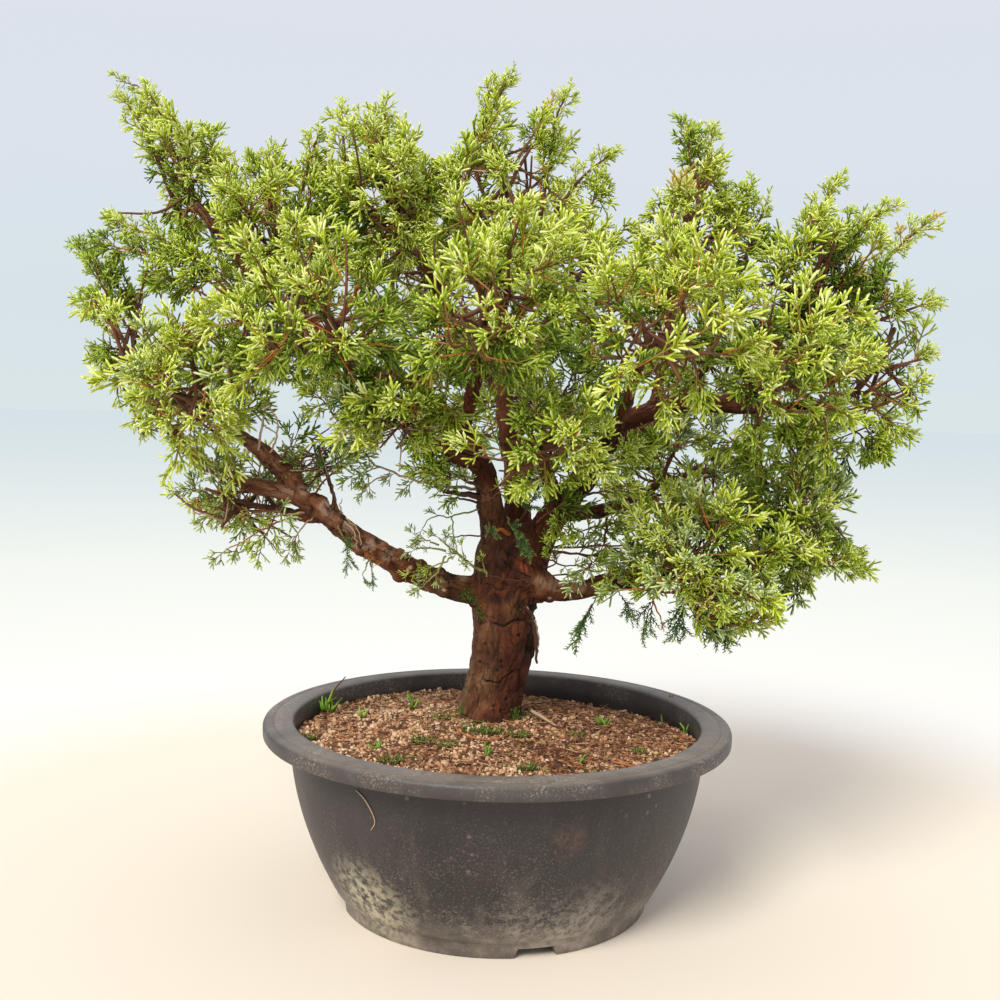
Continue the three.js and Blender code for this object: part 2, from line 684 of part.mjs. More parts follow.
addPiece('pot', potGeometry(), MATERIALS.pot);
addPiece('soil', soilGeometry(), MATERIALS.soil);
addPiece('trunk', geometryOf(solidOf(trunkGeometry())), MATERIALS.bark);

const grown = [limbs.trunk];
for (const limb of Object.values(limbs).slice(1)) {
  const carriers = grown.map((other) => other.build(CLEARANCE + 0.1));
  const cut = largestBody(limb.build(0).subtract(wasm.Manifold.union(carriers)));
  addPiece(limb.name, geometryOf(cut), MATERIALS.bark);
  grown.push(limb);
}

Object.entries(MASSES).forEach(([name, mass], order) => {
  addPiece(`${name}_foliage`, geometryOf(growMass(mass, SEED_STEP * (order + 1))), MATERIALS.foliage);
});

const box = new THREE.Box3().setFromObject(plant);
plant.position.set(-(box.min.x + box.max.x) / 2, -(box.min.y + box.max.y) / 2, -box.min.z);

export default plant;
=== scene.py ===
# An Itoigawa juniper grown as a bonsai, in a round black training pot of soil.
# Everything is laid out in millimetres about the pot's axis, +Z up and -Y towards the viewer,
# and moved to the frame, in metres, as each mesh is made.
import math

import bmesh
import bpy
import numpy as np
from mathutils import Matrix, Vector


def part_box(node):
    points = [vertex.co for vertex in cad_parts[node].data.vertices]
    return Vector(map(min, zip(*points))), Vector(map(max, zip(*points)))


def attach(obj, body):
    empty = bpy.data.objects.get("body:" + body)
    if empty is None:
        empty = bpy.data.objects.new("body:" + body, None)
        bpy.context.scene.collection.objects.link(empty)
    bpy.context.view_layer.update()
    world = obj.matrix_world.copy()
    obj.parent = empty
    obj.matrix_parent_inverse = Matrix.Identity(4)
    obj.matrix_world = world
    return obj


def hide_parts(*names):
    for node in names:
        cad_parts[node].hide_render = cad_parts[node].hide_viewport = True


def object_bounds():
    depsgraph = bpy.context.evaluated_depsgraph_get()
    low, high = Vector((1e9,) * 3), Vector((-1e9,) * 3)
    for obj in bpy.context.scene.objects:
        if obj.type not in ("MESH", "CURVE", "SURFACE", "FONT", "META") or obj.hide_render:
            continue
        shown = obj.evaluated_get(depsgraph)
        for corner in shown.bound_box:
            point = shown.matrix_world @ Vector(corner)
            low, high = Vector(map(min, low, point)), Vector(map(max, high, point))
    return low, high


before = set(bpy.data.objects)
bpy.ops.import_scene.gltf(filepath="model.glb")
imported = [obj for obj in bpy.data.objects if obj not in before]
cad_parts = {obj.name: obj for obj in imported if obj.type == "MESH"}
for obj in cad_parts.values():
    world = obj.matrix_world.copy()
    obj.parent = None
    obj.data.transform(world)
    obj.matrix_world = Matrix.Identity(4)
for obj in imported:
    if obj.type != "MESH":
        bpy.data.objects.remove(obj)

CAD_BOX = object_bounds()

# The pot, from the frame
POT_LOW, POT_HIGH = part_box("pot")
AXIS = np.array([(POT_LOW[0] + POT_HIGH[0]) / 2, (POT_LOW[1] + POT_HIGH[1]) / 2, 0.0])
RIM_RADIUS = 500 * (POT_HIGH[0] - POT_LOW[0])
RIM_TOP = 1000 * POT_HIGH[2]
RIM_SKIRT = 8.4
RIM_LIP = 2.4
RIM_INNER_RADIUS = 117.5
WALL = 2.6
WALL_TOP_RADIUS = 119.5
WALL_BULGE = 1.9
BELLY_RADIUS = 93
FOOT_RADIUS = 90
FOOT_HEIGHT = 9.5
FOOT_WALL = 5
FLOOR_TOP = 12.5
NOTCH_TURNS = (-75, 15, 105, 195)
NOTCH_HALF_TURN = 7.4
NOTCH_HEIGHT = 5.5
DRAIN_HOLE_RADIUS = 11
DRAIN_HOLE_RING = 48
POT_STEPS = 288

SOIL_AT_WALL = RIM_TOP - 9.5
SOIL_SEAT_RADIUS = 29
SOIL_MOUND_WIDTH = 60
SOIL_SUNK = 5
SOIL_SUNK_WIDTH = 46
SOIL_SUNK_FROM = 62
SOIL_UNEVEN = 1.2
SOIL_WAVE = 9.5
SOIL_GRAIN_DEPTH = 1.4
# The bed under the grains, the grains and the litter: how far out they lie, how many, how large,
# and how far they keep from the trunk's middle
BED_RADIUS = 116.4
BED_SEGMENTS = 150
BED_FOOT = 60
GRAINS = 9900
GRAIN_REACH = 115.2
GRAIN_SMALLEST = 0.62
GRAIN_RANGE = 1.15
LITTER_TRIES = 3800
LITTER_REACH = 112
TRUNK_FOOT = np.array([-4.0, 17.0, 103.0])
GRAINS_CLEAR = 17
LITTER_CLEAR = 20

# The camera, fitted to the pot's two rims and its outline in the photo
PHOTO_SIZE = 1000
CAMERA_PLACE = np.array([0.0, -698.3, 281.3])
CAMERA_DOWN = 0.070
CAMERA_ROLL = 0.0255
CAMERA_TURN = 0.0026
LENS_PER_WIDTH = 1.2107
SENSOR = 36.0

# The limbs, from root to tip, with the radius at each end, as in the solids
TRUNK_PATH = [(-4, 17, 103), (2, 13, 140), (2, 9, 173), (7, 5, 204), (9, 4, 221)]
TRUNK_RADIUS = 18.6
TRUNK_FLARE = 2.6
TRUNK_FLARE_FADE = 12
TRUNK_LENGTH = 124
FORK_SWELL = 3.2
FORK_SHARE = 0.8
BARK_VOXEL = 1.22
MAIN_LIMBS = {
    "left_bough": ([(2, 8, 176), (-36, 2, 183), (-75, -10, 204), (-113, -16, 231)], (9, 6.4)),
    "left_upper_limb": ([(-113, -16, 231), (-128, -14, 250), (-150, -22, 268)], (5.8, 4)),
    "left_lower_limb": ([(-113, -16, 231), (-150, -22, 242), (-176, -18, 254), (-198, -12, 280)], (5.4, 3)),
    "left_leader": ([(0, 3, 196), (-7, -4, 226), (-12, -10, 250), (-26, -14, 272)], (9.5, 6.4)),
    "left_high_limb": ([(-26, -14, 272), (-56, -18, 298), (-88, -14, 308), (-118, 8, 336)], (6, 3.4)),
    "right_bough": (
        [(8, 6, 182), (42, -4, 181), (74, -12, 191), (112, -20, 195), (148, -22, 210)], (7.2, 3.4)),
    "right_leader": ([(14, 2, 196), (33, -2, 230), (50, -4, 252), (62, -6, 276)], (10, 7)),
    "right_high_limb": ([(62, -6, 276), (96, -8, 290), (134, -4, 290), (182, 0, 290)], (6.6, 3.2)),
    "centre_leader": ([(8, 12, 198), (8, 18, 240), (-2, 12, 300), (-4, 2, 372)], (9, 3.4)),
}

# The masses of foliage, as in the solids: middle, reach, the limb that carries each and where
# along it, how many branchlets it has, and how grey-green it is
MASSES = {
    "left_tip": ((-212, 0, 318), (42, 55, 62), "left_lower_limb", 1, 15, 0.25),
    "left_low": ((-150, -10, 226), (50, 48, 34), "left_bough", 0.88, 9, 0.75),
    "left_shoulder": ((-160, -58, 298), (50, 50, 46), "left_upper_limb", 1, 14, 0.3),
    "left_gap": ((-104, -12, 256), (30, 30, 27), "left_bough", 0.78, 5, 0.6),
    "left_spike": ((-200, 8, 418), (40, 50, 56), "left_high_limb", 0.72, 14, 0.0),
    "left_high": ((-132, 0, 385), (50, 58, 56), "left_high_limb", 1, 17, 0.0),
    "top_left": ((-72, 0, 405), (46, 58, 54), "centre_leader", 0.6, 17, 0.0),
    "top": ((-4, -6, 412), (46, 60, 66), "centre_leader", 1, 17, 0.0),
    "top_right": ((100, 0, 398), (52, 60, 56), "right_high_limb", 0.2, 16, 0.0),
    "upper_right": ((176, 6, 368), (46, 55, 60), "right_high_limb", 0.6, 16, 0.0),
    "right_tip": ((212, 2, 326), (42, 54, 80), "right_high_limb", 1, 17, 0.1),
    "right_low": ((178, -8, 222), (46, 54, 46), "right_bough", 1, 15, 0.6),
    "right_hanging": ((110, -42, 200), (52, 48, 50), "right_bough", 0.36, 15, 0.6),
    "front_left": ((-92, -92, 330), (56, 56, 50), "left_high_limb", 0.5, 16, 0.0),
    "front": ((-10, -106, 338), (52, 52, 54), "left_leader", 0.95, 16, 0.0),
    "front_right": ((72, -102, 325), (54, 54, 52), "right_leader", 0.9, 16, 0.0),
    "right_front": ((144, -68, 304), (50, 54, 50), "right_high_limb", 0.4, 16, 0.1),
    "front_low": ((14, -72, 270), (48, 42, 32), "right_leader", 0.45, 11, 0.2),
    "left_low_inner": ((-60, -60, 284), (38, 42, 30), "left_leader", 0.7, 10, 0.2),
    "back_left": ((-150, 84, 322), (60, 62, 62), "left_high_limb", 0.35, 15, 0.1),
    "back_top_left": ((-62, 104, 380), (58, 58, 56), "centre_leader", 0.55, 15, 0.0),
    "back_top_right": ((50, 108, 378), (60, 58, 58), "centre_leader", 0.65, 15, 0.0),
    "back_right": ((146, 84, 330), (58, 60, 66), "right_leader", 0.85, 15, 0.1),
    "back_low": ((10, 114, 296), (72, 52, 46), "centre_leader", 0.3, 13, 0.4),
    "back_low_right": ((118, 68, 246), (58, 54, 46), "right_leader", 0.35, 12, 0.5),
}
BOUGH_SAG = 0.07
BOUGH_BASE = 0.62
BOUGH_THICKEST = 5.2
BOUGH_TIP = 2.8
BOUGH_DEPTH = 0.55
STEM_PAST = 0.3
STEM_BEND = 0.4
CELL_MARGIN = 0.6
EDGE_MARGIN = 1.0
BRANCHLET_REACH = 0.78
CLUMP_SIZE = 30
CLUMP_GAP = -0.2
HOLLOW_SIZE = 25
HOLLOW_LEVEL = -0.27
STEM_TWIGS = 6
BRANCHLET_LEAN = 0.45
BRANCHLET_LENGTH = 44
BARE_TWIGS = 24

# Long shoots that stand out of the crown, from base to tip
LEADING_SHOOTS = [
    [(-175, 6, 392), (-199, 6, 419), (-216, 6, 447), (-227, 6, 461)],
    [(-183, 0, 404), (-199, 0, 436), (-207, 0, 461)],
    [(-192, 0, 352), (-226, 0, 388)],
    [(-212, 0, 338), (-243, 0, 368)],
    [(-120, 0, 404), (-110, 0, 438)],
    [(-94, 0, 412), (-97, 0, 451)],
    [(-75, 0, 413), (-72, 0, 453)],
    [(-142, 0, 400), (-137, 0, 428)],
    [(-28, -6, 405), (-19, -6, 433), (-10, -6, 456), (-2, -6, 472)],
    [(-18, -6, 438), (-12, -6, 466)],
    [(17, -6, 394), (22, -6, 431), (25, -6, 451), (32, -6, 464)],
    [(25, -6, 396), (41, -6, 417), (57, -6, 430)],
    [(121, 0, 373), (118, 0, 410), (107, 0, 428), (98, 0, 449)],
    [(110, 0, 421), (113, 0, 444)],
    [(134, 0, 373), (144, 0, 402)],
    [(160, 0, 368), (176, 0, 403), (188, 0, 423)],
    [(183, 0, 369), (204, 0, 396), (217, 0, 405)],
    [(200, 0, 358), (223, 0, 384), (240, 0, 399)],
    [(213, 0, 341), (241, 0, 352)],
    [(220, 0, 313), (240, 0, 321)],
]

# Sprays of scale leaves: the colours of each green's inner shoots, outer shoots and tips. The
# bright, fresh, mid and deep greens are lit and shaded copies of one green: painted light and shade
SPRAY_LENGTH = 22.0
FINGER_RADIUS = 0.71
TEMPLATES = 14
SPRIGS = 4
GREENS = {
    "bright": ("#94a01c", "#c3d140", "#e8ee96"),
    "fresh": ("#7a8a14", "#aec030", "#d9e47a"),
    "mid": ("#586c0c", "#8aa220", "#bbcd54"),
    "deep": ("#3c4c06", "#5c760c", "#8fa836"),
    "grey": ("#697a3a", "#9db05e", "#d0d89c"),
    "needle": ("#3c5428", "#5c7a3c", "#93ab62"),
    "yellow": ("#a08a2c", "#c9b24a", "#e4d680"),
    "dry": ("#8a4f28", "#b0703a", "#cf9a62"),
}
GREEN_NAMES = list(GREENS)
FEATHERY = ("needle", "dry")
STALK = "#9a7a36"
WOODS = {
    "fresh_twig": "#b46a34", "twig": "#6c4430", "old_twig": "#543828", "pale_twig": "#b89c80",
    "green_twig": "#8f9150",
}
WOOD_NAMES = list(WOODS)


def srgb(code):
    """A linear colour from an sRGB hex value"""
    values = [int(code[i:i + 2], 16) / 255 for i in (1, 3, 5)]
    return [v / 12.92 if v <= 0.04045 else ((v + 0.055) / 1.055) ** 2.4 for v in values] + [1.0]


def add(tree, kind, inputs=None, gives=None, stops=None, **settings):
    """One node with its settings, and a value or a link for each input; gives back one output"""
    node = tree.nodes.new(kind)
    for name, value in settings.items():
        setattr(node, name, value)
    for name, value in (inputs or {}).items():
        if isinstance(value, bpy.types.NodeSocket):
            tree.links.new(value, node.inputs[name])
        else:
            node.inputs[name].default_value = srgb(value) if isinstance(value, str) else value
    if stops:
        for place, code in stops[2:]:
            node.color_ramp.elements.new(place)
        for element, (place, code) in zip(node.color_ramp.elements, stops):
            element.position = place
            element.color = srgb(code)
    if gives:
        return node.outputs[gives]
    return next((output for output in node.outputs if output.enabled), None)


def material(name):
    made = bpy.data.materials.new(name)
    made.use_nodes = True
    tree = made.node_tree
    return made, tree, tree.nodes["Principled BSDF"]


def plain(name, code, roughness=0.6, specular=0.4):
    made, tree, surface = material(name)
    surface.inputs["Base Color"].default_value = srgb(code)
    surface.inputs["Roughness"].default_value = roughness
    surface.inputs["Specular IOR Level"].default_value = specular
    made.diffuse_color = srgb(code)
    return made


def mesh_of(name, points, triangles, materials, which=None, smooth=True):
    """A joined mesh from arrays of points, in millimetres about the pot's axis, and triangles"""
    mesh = bpy.data.meshes.new(name)
    placed = points / 1000 + AXIS
    mesh.vertices.add(len(placed))
    mesh.vertices.foreach_set("co", placed.astype(np.float32).ravel())
    mesh.loops.add(3 * len(triangles))
    mesh.loops.foreach_set("vertex_index", triangles.astype(np.int32).ravel())
    mesh.polygons.add(len(triangles))
    mesh.polygons.foreach_set("loop_start", np.arange(0, 3 * len(triangles), 3, dtype=np.int32))
    for item in materials:
        mesh.materials.append(item)
    if which is not None:
        mesh.polygons.foreach_set("material_index", which.astype(np.int32))
    mesh.polygons.foreach_set("use_smooth", np.full(len(triangles), smooth))
    mesh.update(calc_edges=True)
    return add_piece(name, mesh)


def add_piece(name, mesh):
    piece = bpy.data.objects.new(name, mesh)
    bpy.context.scene.collection.objects.link(piece)
    return piece


def finish_bmesh(name, bm, materials, smooth=True):
    """Closes a bmesh that was modelled in millimetres about the pot's axis"""
    bmesh.ops.transform(bm, matrix=Matrix.Translation(AXIS) @ Matrix.Scale(0.001, 4), verts=bm.verts)
    mesh = bpy.data.meshes.new(name)
    bm.to_mesh(mesh)
    bm.free()
    for item in materials:
        mesh.materials.append(item)
    mesh.polygons.foreach_set("use_smooth", np.full(len(mesh.polygons), smooth))
    return add_piece(name, mesh)


def jumble(cell):
    """A whole number for each cell that looks random and is always the same"""
    return (cell[:, 0] * 73856093) ^ (cell[:, 1] * 19349663) ^ (cell[:, 2] * 83492791)


def stir(mixed):
    return (mixed ^ (mixed >> 13)) * 1274126177


def wobble(points, size, seed=0):
    """Smooth noise from -1 to 1 at each point, with lumps of about that size in millimetres"""
    place = np.asarray(points, float) / size + 37.7 * seed + 1000
    cell = np.floor(place).astype(np.int64)
    part = place - cell
    ease = part * part * (3 - 2 * part)
    total = 0
    for step in np.ndindex(2, 2, 2):
        mixed = stir(jumble(cell + step))
        weight = 1
        for axis in range(3):
            weight = weight * (ease[:, axis] if step[axis] else 1 - ease[:, axis])
        total = total + weight * (((mixed ^ (mixed >> 16)) & 0xFFFF) / 32767.5 - 1)
    return total


def wobbles(points, size, seeds):
    return np.column_stack([wobble(points, size, seed) for seed in seeds])


def cells(points, size, seed):
    """How far each point is from the edge of its cell, and a value for the cell, 0 to 1"""
    place = np.asarray(points, float) / size + 37.7 * seed + 1000
    cell = np.floor(place).astype(np.int64)
    first = np.full(len(place), 9.0)
    second = np.full(len(place), 9.0)
    value = np.zeros(len(place))
    for step in np.ndindex(3, 3, 3):
        corner = cell + step - 1
        mixed = jumble(corner)
        centre = corner.astype(float)
        for axis in range(3):
            mixed = stir(mixed)
            centre[:, axis] += ((mixed >> 8) & 0xFFFF) / 65536
        gap = np.linalg.norm(place - centre, axis=1)
        nearer = gap < first
        second = np.where(nearer, first, np.minimum(second, gap))
        value = np.where(nearer, ((mixed >> 9) & 0xFFF) / 4095, value)
        first = np.where(nearer, gap, first)
    return second - first, value


def unit(vector):
    return vector / max(np.linalg.norm(vector), 1e-9)


def smooth_path(points, count):
    """Even places along a smooth curve through the given points (centripetal, as in the solids)"""
    points = np.array(points, float)
    if len(points) == 2:
        points = np.array([points[0], points.mean(axis=0), points[1]])
    ends = np.vstack([2 * points[0] - points[1], points, 2 * points[-1] - points[-2]])
    fine = []
    share = np.linspace(0, 1, 24, endpoint=False)[:, None]
    for a, b, c, d in zip(ends, ends[1:], ends[2:], ends[3:]):
        before, here, after = (math.sqrt(np.linalg.norm(q - p)) for p, q in ((a, b), (b, c), (c, d)))
        start = here * ((b - a) / before - (c - a) / (before + here) + (c - b) / here)
        end = here * ((c - b) / here - (d - b) / (here + after) + (d - c) / after)
        cubic = 2 * b - 2 * c + start + end
        square = -3 * b + 3 * c - 2 * start - end
        fine.append(b + start * share + square * share**2 + cubic * share**3)
    fine = np.vstack(fine + [points[-1:]])
    run = np.concatenate([[0], np.cumsum(np.linalg.norm(np.diff(fine, axis=0), axis=1))])
    places = np.linspace(0, run[-1], count)
    return np.column_stack([np.interp(places, run, fine[:, axis]) for axis in range(3)])


def along(path, share):
    place = share * (len(path) - 1)
    low = min(int(place), len(path) - 2)
    return path[low] + (path[low + 1] - path[low]) * (place - low)


def frames_on(path):
    """Two sideways directions at each place of a path, carried along without twisting"""
    headings = np.gradient(path, axis=0)
    headings /= np.linalg.norm(headings, axis=1)[:, None]
    side = unit(np.cross(headings[0], (0.31, 0.12, 0.94) if abs(headings[0][2]) < 0.8 else (1.0, 0.2, 0.0)))
    sides = []
    for heading in headings:
        side = unit(side - heading * np.dot(side, heading))
        sides.append(side)
    sides = np.array(sides)
    return headings, sides, np.cross(headings, sides)


def tube(path, radii, count=3):
    """A closed tube with a pointed end: its points and triangles"""
    headings, sides, uppers = frames_on(path)
    turns = 2 * math.pi * np.arange(count) / count
    ring = np.cos(turns)[None, :, None] * sides[:, None] + np.sin(turns)[None, :, None] * uppers[:, None]
    points = (path[:, None] + ring * np.asarray(radii)[:, None, None]).reshape(-1, 3)
    points = np.vstack([points, path[-1] + headings[-1] * radii[-1] * 0.8, path[0]])
    triangles = []
    last = len(path) - 1
    for k in range(count):
        following = (k + 1) % count
        for level in range(last):
            a, b = level * count + k, level * count + following
            triangles += [(a, b, b + count), (a, b + count, a + count)]
        triangles.append((last * count + k, last * count + following, len(points) - 2))
        triangles.append((following, k, len(points) - 1))
    return points, np.array(triangles)


class Heap:
    """Collects small meshes of one kind, to be joined into one piece"""

    def __init__(self):
        self.points, self.triangles, self.which, self.size = [], [], [], 0

    def put(self, points, triangles, which):
        self.points.append(points)
        self.triangles.append(triangles + self.size)
        self.which.append(np.broadcast_to(which, len(triangles)))
        self.size += len(points)

    def arrays(self):
        return np.vstack(self.points), np.vstack(self.triangles), np.concatenate(self.which)

    def piece(self, name, materials):
        points, triangles, which = self.arrays()
        return mesh_of(name, points, triangles, materials, which)


def project(points):
    """Where points land in the camera's picture, 0 to 1 across and down"""
    right, upward, forward = camera_axes()
    offset = np.atleast_2d(points) - CAMERA_PLACE
    depth = offset @ forward
    return np.column_stack([
        0.5 + LENS_PER_WIDTH * (offset @ right) / depth,
        0.5 - LENS_PER_WIDTH * (offset @ upward) / depth,
    ])


def camera_axes():
    ct, st = math.cos(CAMERA_TURN), math.sin(CAMERA_TURN)
    cd, sd = math.cos(CAMERA_DOWN), math.sin(CAMERA_DOWN)
    cr, sr = math.cos(CAMERA_ROLL), math.sin(CAMERA_ROLL)
    right = np.array([ct, st, 0])
    ahead = np.array([-st, ct, 0])
    forward = cd * ahead - sd * np.array([0, 0, 1])
    upward = sd * ahead + cd * np.array([0, 0, 1])
    return cr * right + sr * upward, cr * upward - sr * right, forward


def wall_radius(height):
    share = min(max((height - FOOT_HEIGHT) / (RIM_TOP - RIM_SKIRT - FOOT_HEIGHT), 0), 1)
    return BELLY_RADIUS + (WALL_TOP_RADIUS - BELLY_RADIUS) * (1 - (1 - share) ** WALL_BULGE)


def pot_profile():
    """Radius and height, from the middle of the underside round to the middle of the floor"""
    under_rim = RIM_TOP - RIM_LIP
    skirt = RIM_TOP - RIM_SKIRT
    outer = [(wall_radius(h), h) for h in np.linspace(FOOT_HEIGHT + 1.2, under_rim, 26)]
    inner = [(wall_radius(h) - WALL, h) for h in np.linspace(skirt, FLOOR_TOP + 1, 12)]
    return [
        (0, FOOT_HEIGHT), (FOOT_RADIUS - FOOT_WALL - 2, FOOT_HEIGHT - 0.3),
        (FOOT_RADIUS - FOOT_WALL, FOOT_HEIGHT - 1.5), (FOOT_RADIUS - FOOT_WALL, NOTCH_HEIGHT),
        (FOOT_RADIUS - FOOT_WALL, 0.6), (FOOT_RADIUS - FOOT_WALL + 0.6, 0), (FOOT_RADIUS - 1.6, 0),
        (FOOT_RADIUS - 0.9, 0.5), (FOOT_RADIUS - 0.2, NOTCH_HEIGHT), (FOOT_RADIUS + 0.5, FOOT_HEIGHT - 0.8),
        (FOOT_RADIUS + 1.2, FOOT_HEIGHT), (BELLY_RADIUS - 0.7, FOOT_HEIGHT + 0.3), *outer,
        (WALL_TOP_RADIUS + 1.5, under_rim + 0.1), (RIM_RADIUS - RIM_LIP - 1.2, under_rim),
        (RIM_RADIUS - RIM_LIP, under_rim - 1.2), (RIM_RADIUS - RIM_LIP, skirt + 0.4),
        (RIM_RADIUS - RIM_LIP + 0.5, skirt), (RIM_RADIUS - 0.7, skirt), (RIM_RADIUS - 0.1, skirt + 0.8),
        (RIM_RADIUS, skirt + 3), (RIM_RADIUS, RIM_TOP - 2.6), (RIM_RADIUS - 0.5, RIM_TOP - 1.4),
        (RIM_RADIUS - 1.6, RIM_TOP - 0.6), (RIM_RADIUS - 3, RIM_TOP - 0.35),
        (RIM_RADIUS - 5.6, RIM_TOP - 0.25), (RIM_RADIUS - 6.2, RIM_TOP - 0.55),
        (RIM_RADIUS - 6.8, RIM_TOP - 0.05), (RIM_RADIUS - 11, RIM_TOP),
        (RIM_INNER_RADIUS + 1.6, RIM_TOP - 0.1), (RIM_INNER_RADIUS + 0.4, RIM_TOP - 0.7),
        (RIM_INNER_RADIUS, RIM_TOP - 2), *inner,
        (wall_radius(FLOOR_TOP) - WALL - 2, FLOOR_TOP), (0, FLOOR_TOP),
    ]


def moulded_plastic():
    # Black polypropylene, injection moulded with a fine stipple: a soft grey sheen, scuffed paler
    # at the rim, where the top is also painted pale as a painted highlight, with lime and green algae
    # dried on low down
    made, tree, surface = material("moulded_polypropylene")
    place = add(tree, "ShaderNodeTexCoord", gives="Object")
    place = add(tree, "ShaderNodeMapping", {"Vector": place, "Location": [-AXIS[0], -AXIS[1], 0]})
    height = add(tree, "ShaderNodeSeparateXYZ", {"Vector": place}, gives="Z")
    clouds = add(tree, "ShaderNodeTexNoise", {"Vector": place, "Scale": 16, "Detail": 4, "Roughness": 0.6})
    base = add(tree, "ShaderNodeValToRGB", {"Fac": clouds},
               stops=[(0.3, "#201b1b"), (0.55, "#2e2828"), (0.8, "#3e3737")])
    broad = add(tree, "ShaderNodeTexNoise", {"Vector": place, "Scale": 28, "Detail": 4, "Roughness": 0.65})
    speckle = add(tree, "ShaderNodeTexNoise", {"Vector": place, "Scale": 260, "Detail": 3, "Roughness": 0.6})
    grit = add(tree, "ShaderNodeTexNoise", {"Vector": place, "Scale": 900, "Detail": 2, "Roughness": 0.6})
    streaks = add(tree, "ShaderNodeMapping", {"Vector": place, "Scale": [1, 1, 0.12]})
    streaks = add(tree, "ShaderNodeTexNoise", {
        "Vector": streaks, "Scale": 70, "Detail": 3, "Roughness": 0.6})
    # The rim's top is dusty and scuffed, and painted paler as a painted highlight; below it water has left
    # faint streaks
    layers = [
        ("#857a70", 0.8, [(height, 0.1045, 0.1058), (broad, 0.1, 0.6)]),
        ("#857a70", 0.26, [(height, 0.094, 0.099), (broad, 0.2, 0.7)]),
        ("#4a3524", 0.55, [(height, 0.096, 0.099), (broad, 0.52, 0.66), (speckle, 0.46, 0.56)]),
        ("#7d7268", 0.3, [(streaks, 0.5, 0.75), (height, 0.1, 0.03)]),
        ("#988c80", 0.6, [(height, 0.024, 0.008), (broad, 0.22, 0.58)]),
        ("#b8aea2", 0.5, [(height, 0.042, 0.012), (broad, 0.46, 0.66), (speckle, 0.42, 0.58)]),
        ("#a69a90", 0.42, [(grit, 0.54, 0.68), (height, 0.1, 0.02), (broad, 0.25, 0.55)]),
        ("#b8aea2", 0.4, [(grit, 0.53, 0.65), (height, 0.094, 0.098), (broad, 0.45, 0.62)]),
    ]
    # The patch of lime and algae low on the left, a brown stain in front, and a few orange spots
    for x, y, z, size, code, amount in (
        (-0.066, -0.076, 0.022, 0.033, "#bdb498", 0.85), (0.036, -0.106, 0.072, 0.012, "#75563f", 0.5),
        (-0.057, -0.083, 0.0215, 0.0028, "#b3702f", 0.9), (-0.0535, -0.0835, 0.017, 0.0022, "#b3702f", 0.9),
        (0.05, -0.09, 0.021, 0.03, "#a39c93", 0.35),
    ):
        away = add(
            tree, "ShaderNodeVectorMath", {0: place, 1: [x, y, z]}, gives="Value", operation="DISTANCE")
        layers.append((code, amount, [(away, size, size * 0.3), (speckle, 0.4, 0.58)]))
    dots = add(tree, "ShaderNodeTexVoronoi", {"Vector": place, "Scale": 95})
    layers.append(("#948a7e", 0.4, [(dots, 0.15, 0.07), (broad, 0.4, 0.6)]))
    for code, amount, masks in layers:
        for value, low, high in masks:
            amount = add(tree, "ShaderNodeMapRange", {
                "Value": value, "From Min": low, "From Max": high, "To Max": amount,
            })
        base = add(tree, "ShaderNodeMix", {"Factor": amount, "A": base, "B": code}, data_type="RGBA")
    tree.links.new(base, surface.inputs["Base Color"])
    rough = add(tree, "ShaderNodeMapRange", {
        "Value": clouds, "From Min": 0.3, "From Max": 0.7, "To Min": 0.4, "To Max": 0.56,
    })
    tree.links.new(rough, surface.inputs["Roughness"])
    # The stipple's grain is about 1.2 mm, coarser than the real one so that it shows
    stipple = add(tree, "ShaderNodeTexVoronoi", {"Vector": place, "Scale": 800})
    bump = add(tree, "ShaderNodeBump", {"Height": stipple, "Strength": 0.28, "Distance": 0.0004})
    tree.links.new(bump, surface.inputs["Normal"])
    return made


def build_pot():
    """A plain training pot of moulded plastic, spun from its profile"""
    bm = bmesh.new()
    corners = [bm.verts.new((radius, 0, height)) for radius, height in pot_profile()]
    edges = [bm.edges.new(pair) for pair in zip(corners, corners[1:])]
    bmesh.ops.spin(
        bm, geom=corners + edges, axis=(0, 0, 1), cent=(0, 0, 0), angle=2 * math.pi, steps=POT_STEPS,
        use_merge=True,
    )
    bmesh.ops.remove_doubles(bm, verts=bm.verts, dist=1e-4)
    bmesh.ops.recalc_face_normals(bm, faces=bm.faces)
    for vert in bm.verts:
        radius = math.hypot(vert.co.x, vert.co.y)
        turn = math.degrees(math.atan2(vert.co.y, vert.co.x))
        off = min(abs((turn - notch + 180) % 360 - 180) for notch in NOTCH_TURNS)
        if off < NOTCH_HALF_TURN and radius > FOOT_RADIUS - FOOT_WALL - 1 and vert.co.z < NOTCH_HEIGHT:
            vert.co.z = NOTCH_HEIGHT - (NOTCH_HEIGHT - vert.co.z) * 0.02
    pot = finish_bmesh("training_pot", bm, [moulded_plastic()])
    drill = bmesh.new()
    for turn in NOTCH_TURNS:
        angle = math.radians(turn)
        place = (DRAIN_HOLE_RING * math.cos(angle), DRAIN_HOLE_RING * math.sin(angle), FOOT_HEIGHT + 1.5)
        bmesh.ops.create_cone(
            drill, cap_ends=True, segments=40, radius1=DRAIN_HOLE_RADIUS, radius2=DRAIN_HOLE_RADIUS,
            depth=9, matrix=Matrix.Translation(place),
        )
    holes = finish_bmesh("drain_hole_cutter", drill, [])
    cut = pot.modifiers.new("drain_holes", "BOOLEAN")
    cut.operation = "DIFFERENCE"
    cut.object = holes
    cut.solver = "EXACT"
    apply_modifiers(pot)
    bpy.data.objects.remove(holes)
    pot.data.shade_smooth()
    pot.data.set_sharp_from_angle(angle=math.radians(50))
    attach(pot, "root")
    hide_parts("pot")


def apply_modifiers(piece):
    evaluated = piece.evaluated_get(bpy.context.evaluated_depsgraph_get())
    mesh = bpy.data.meshes.new_from_object(evaluated)
    old = piece.data
    piece.modifiers.clear()
    piece.data = mesh
    bpy.data.meshes.remove(old)
    mesh.name = piece.name


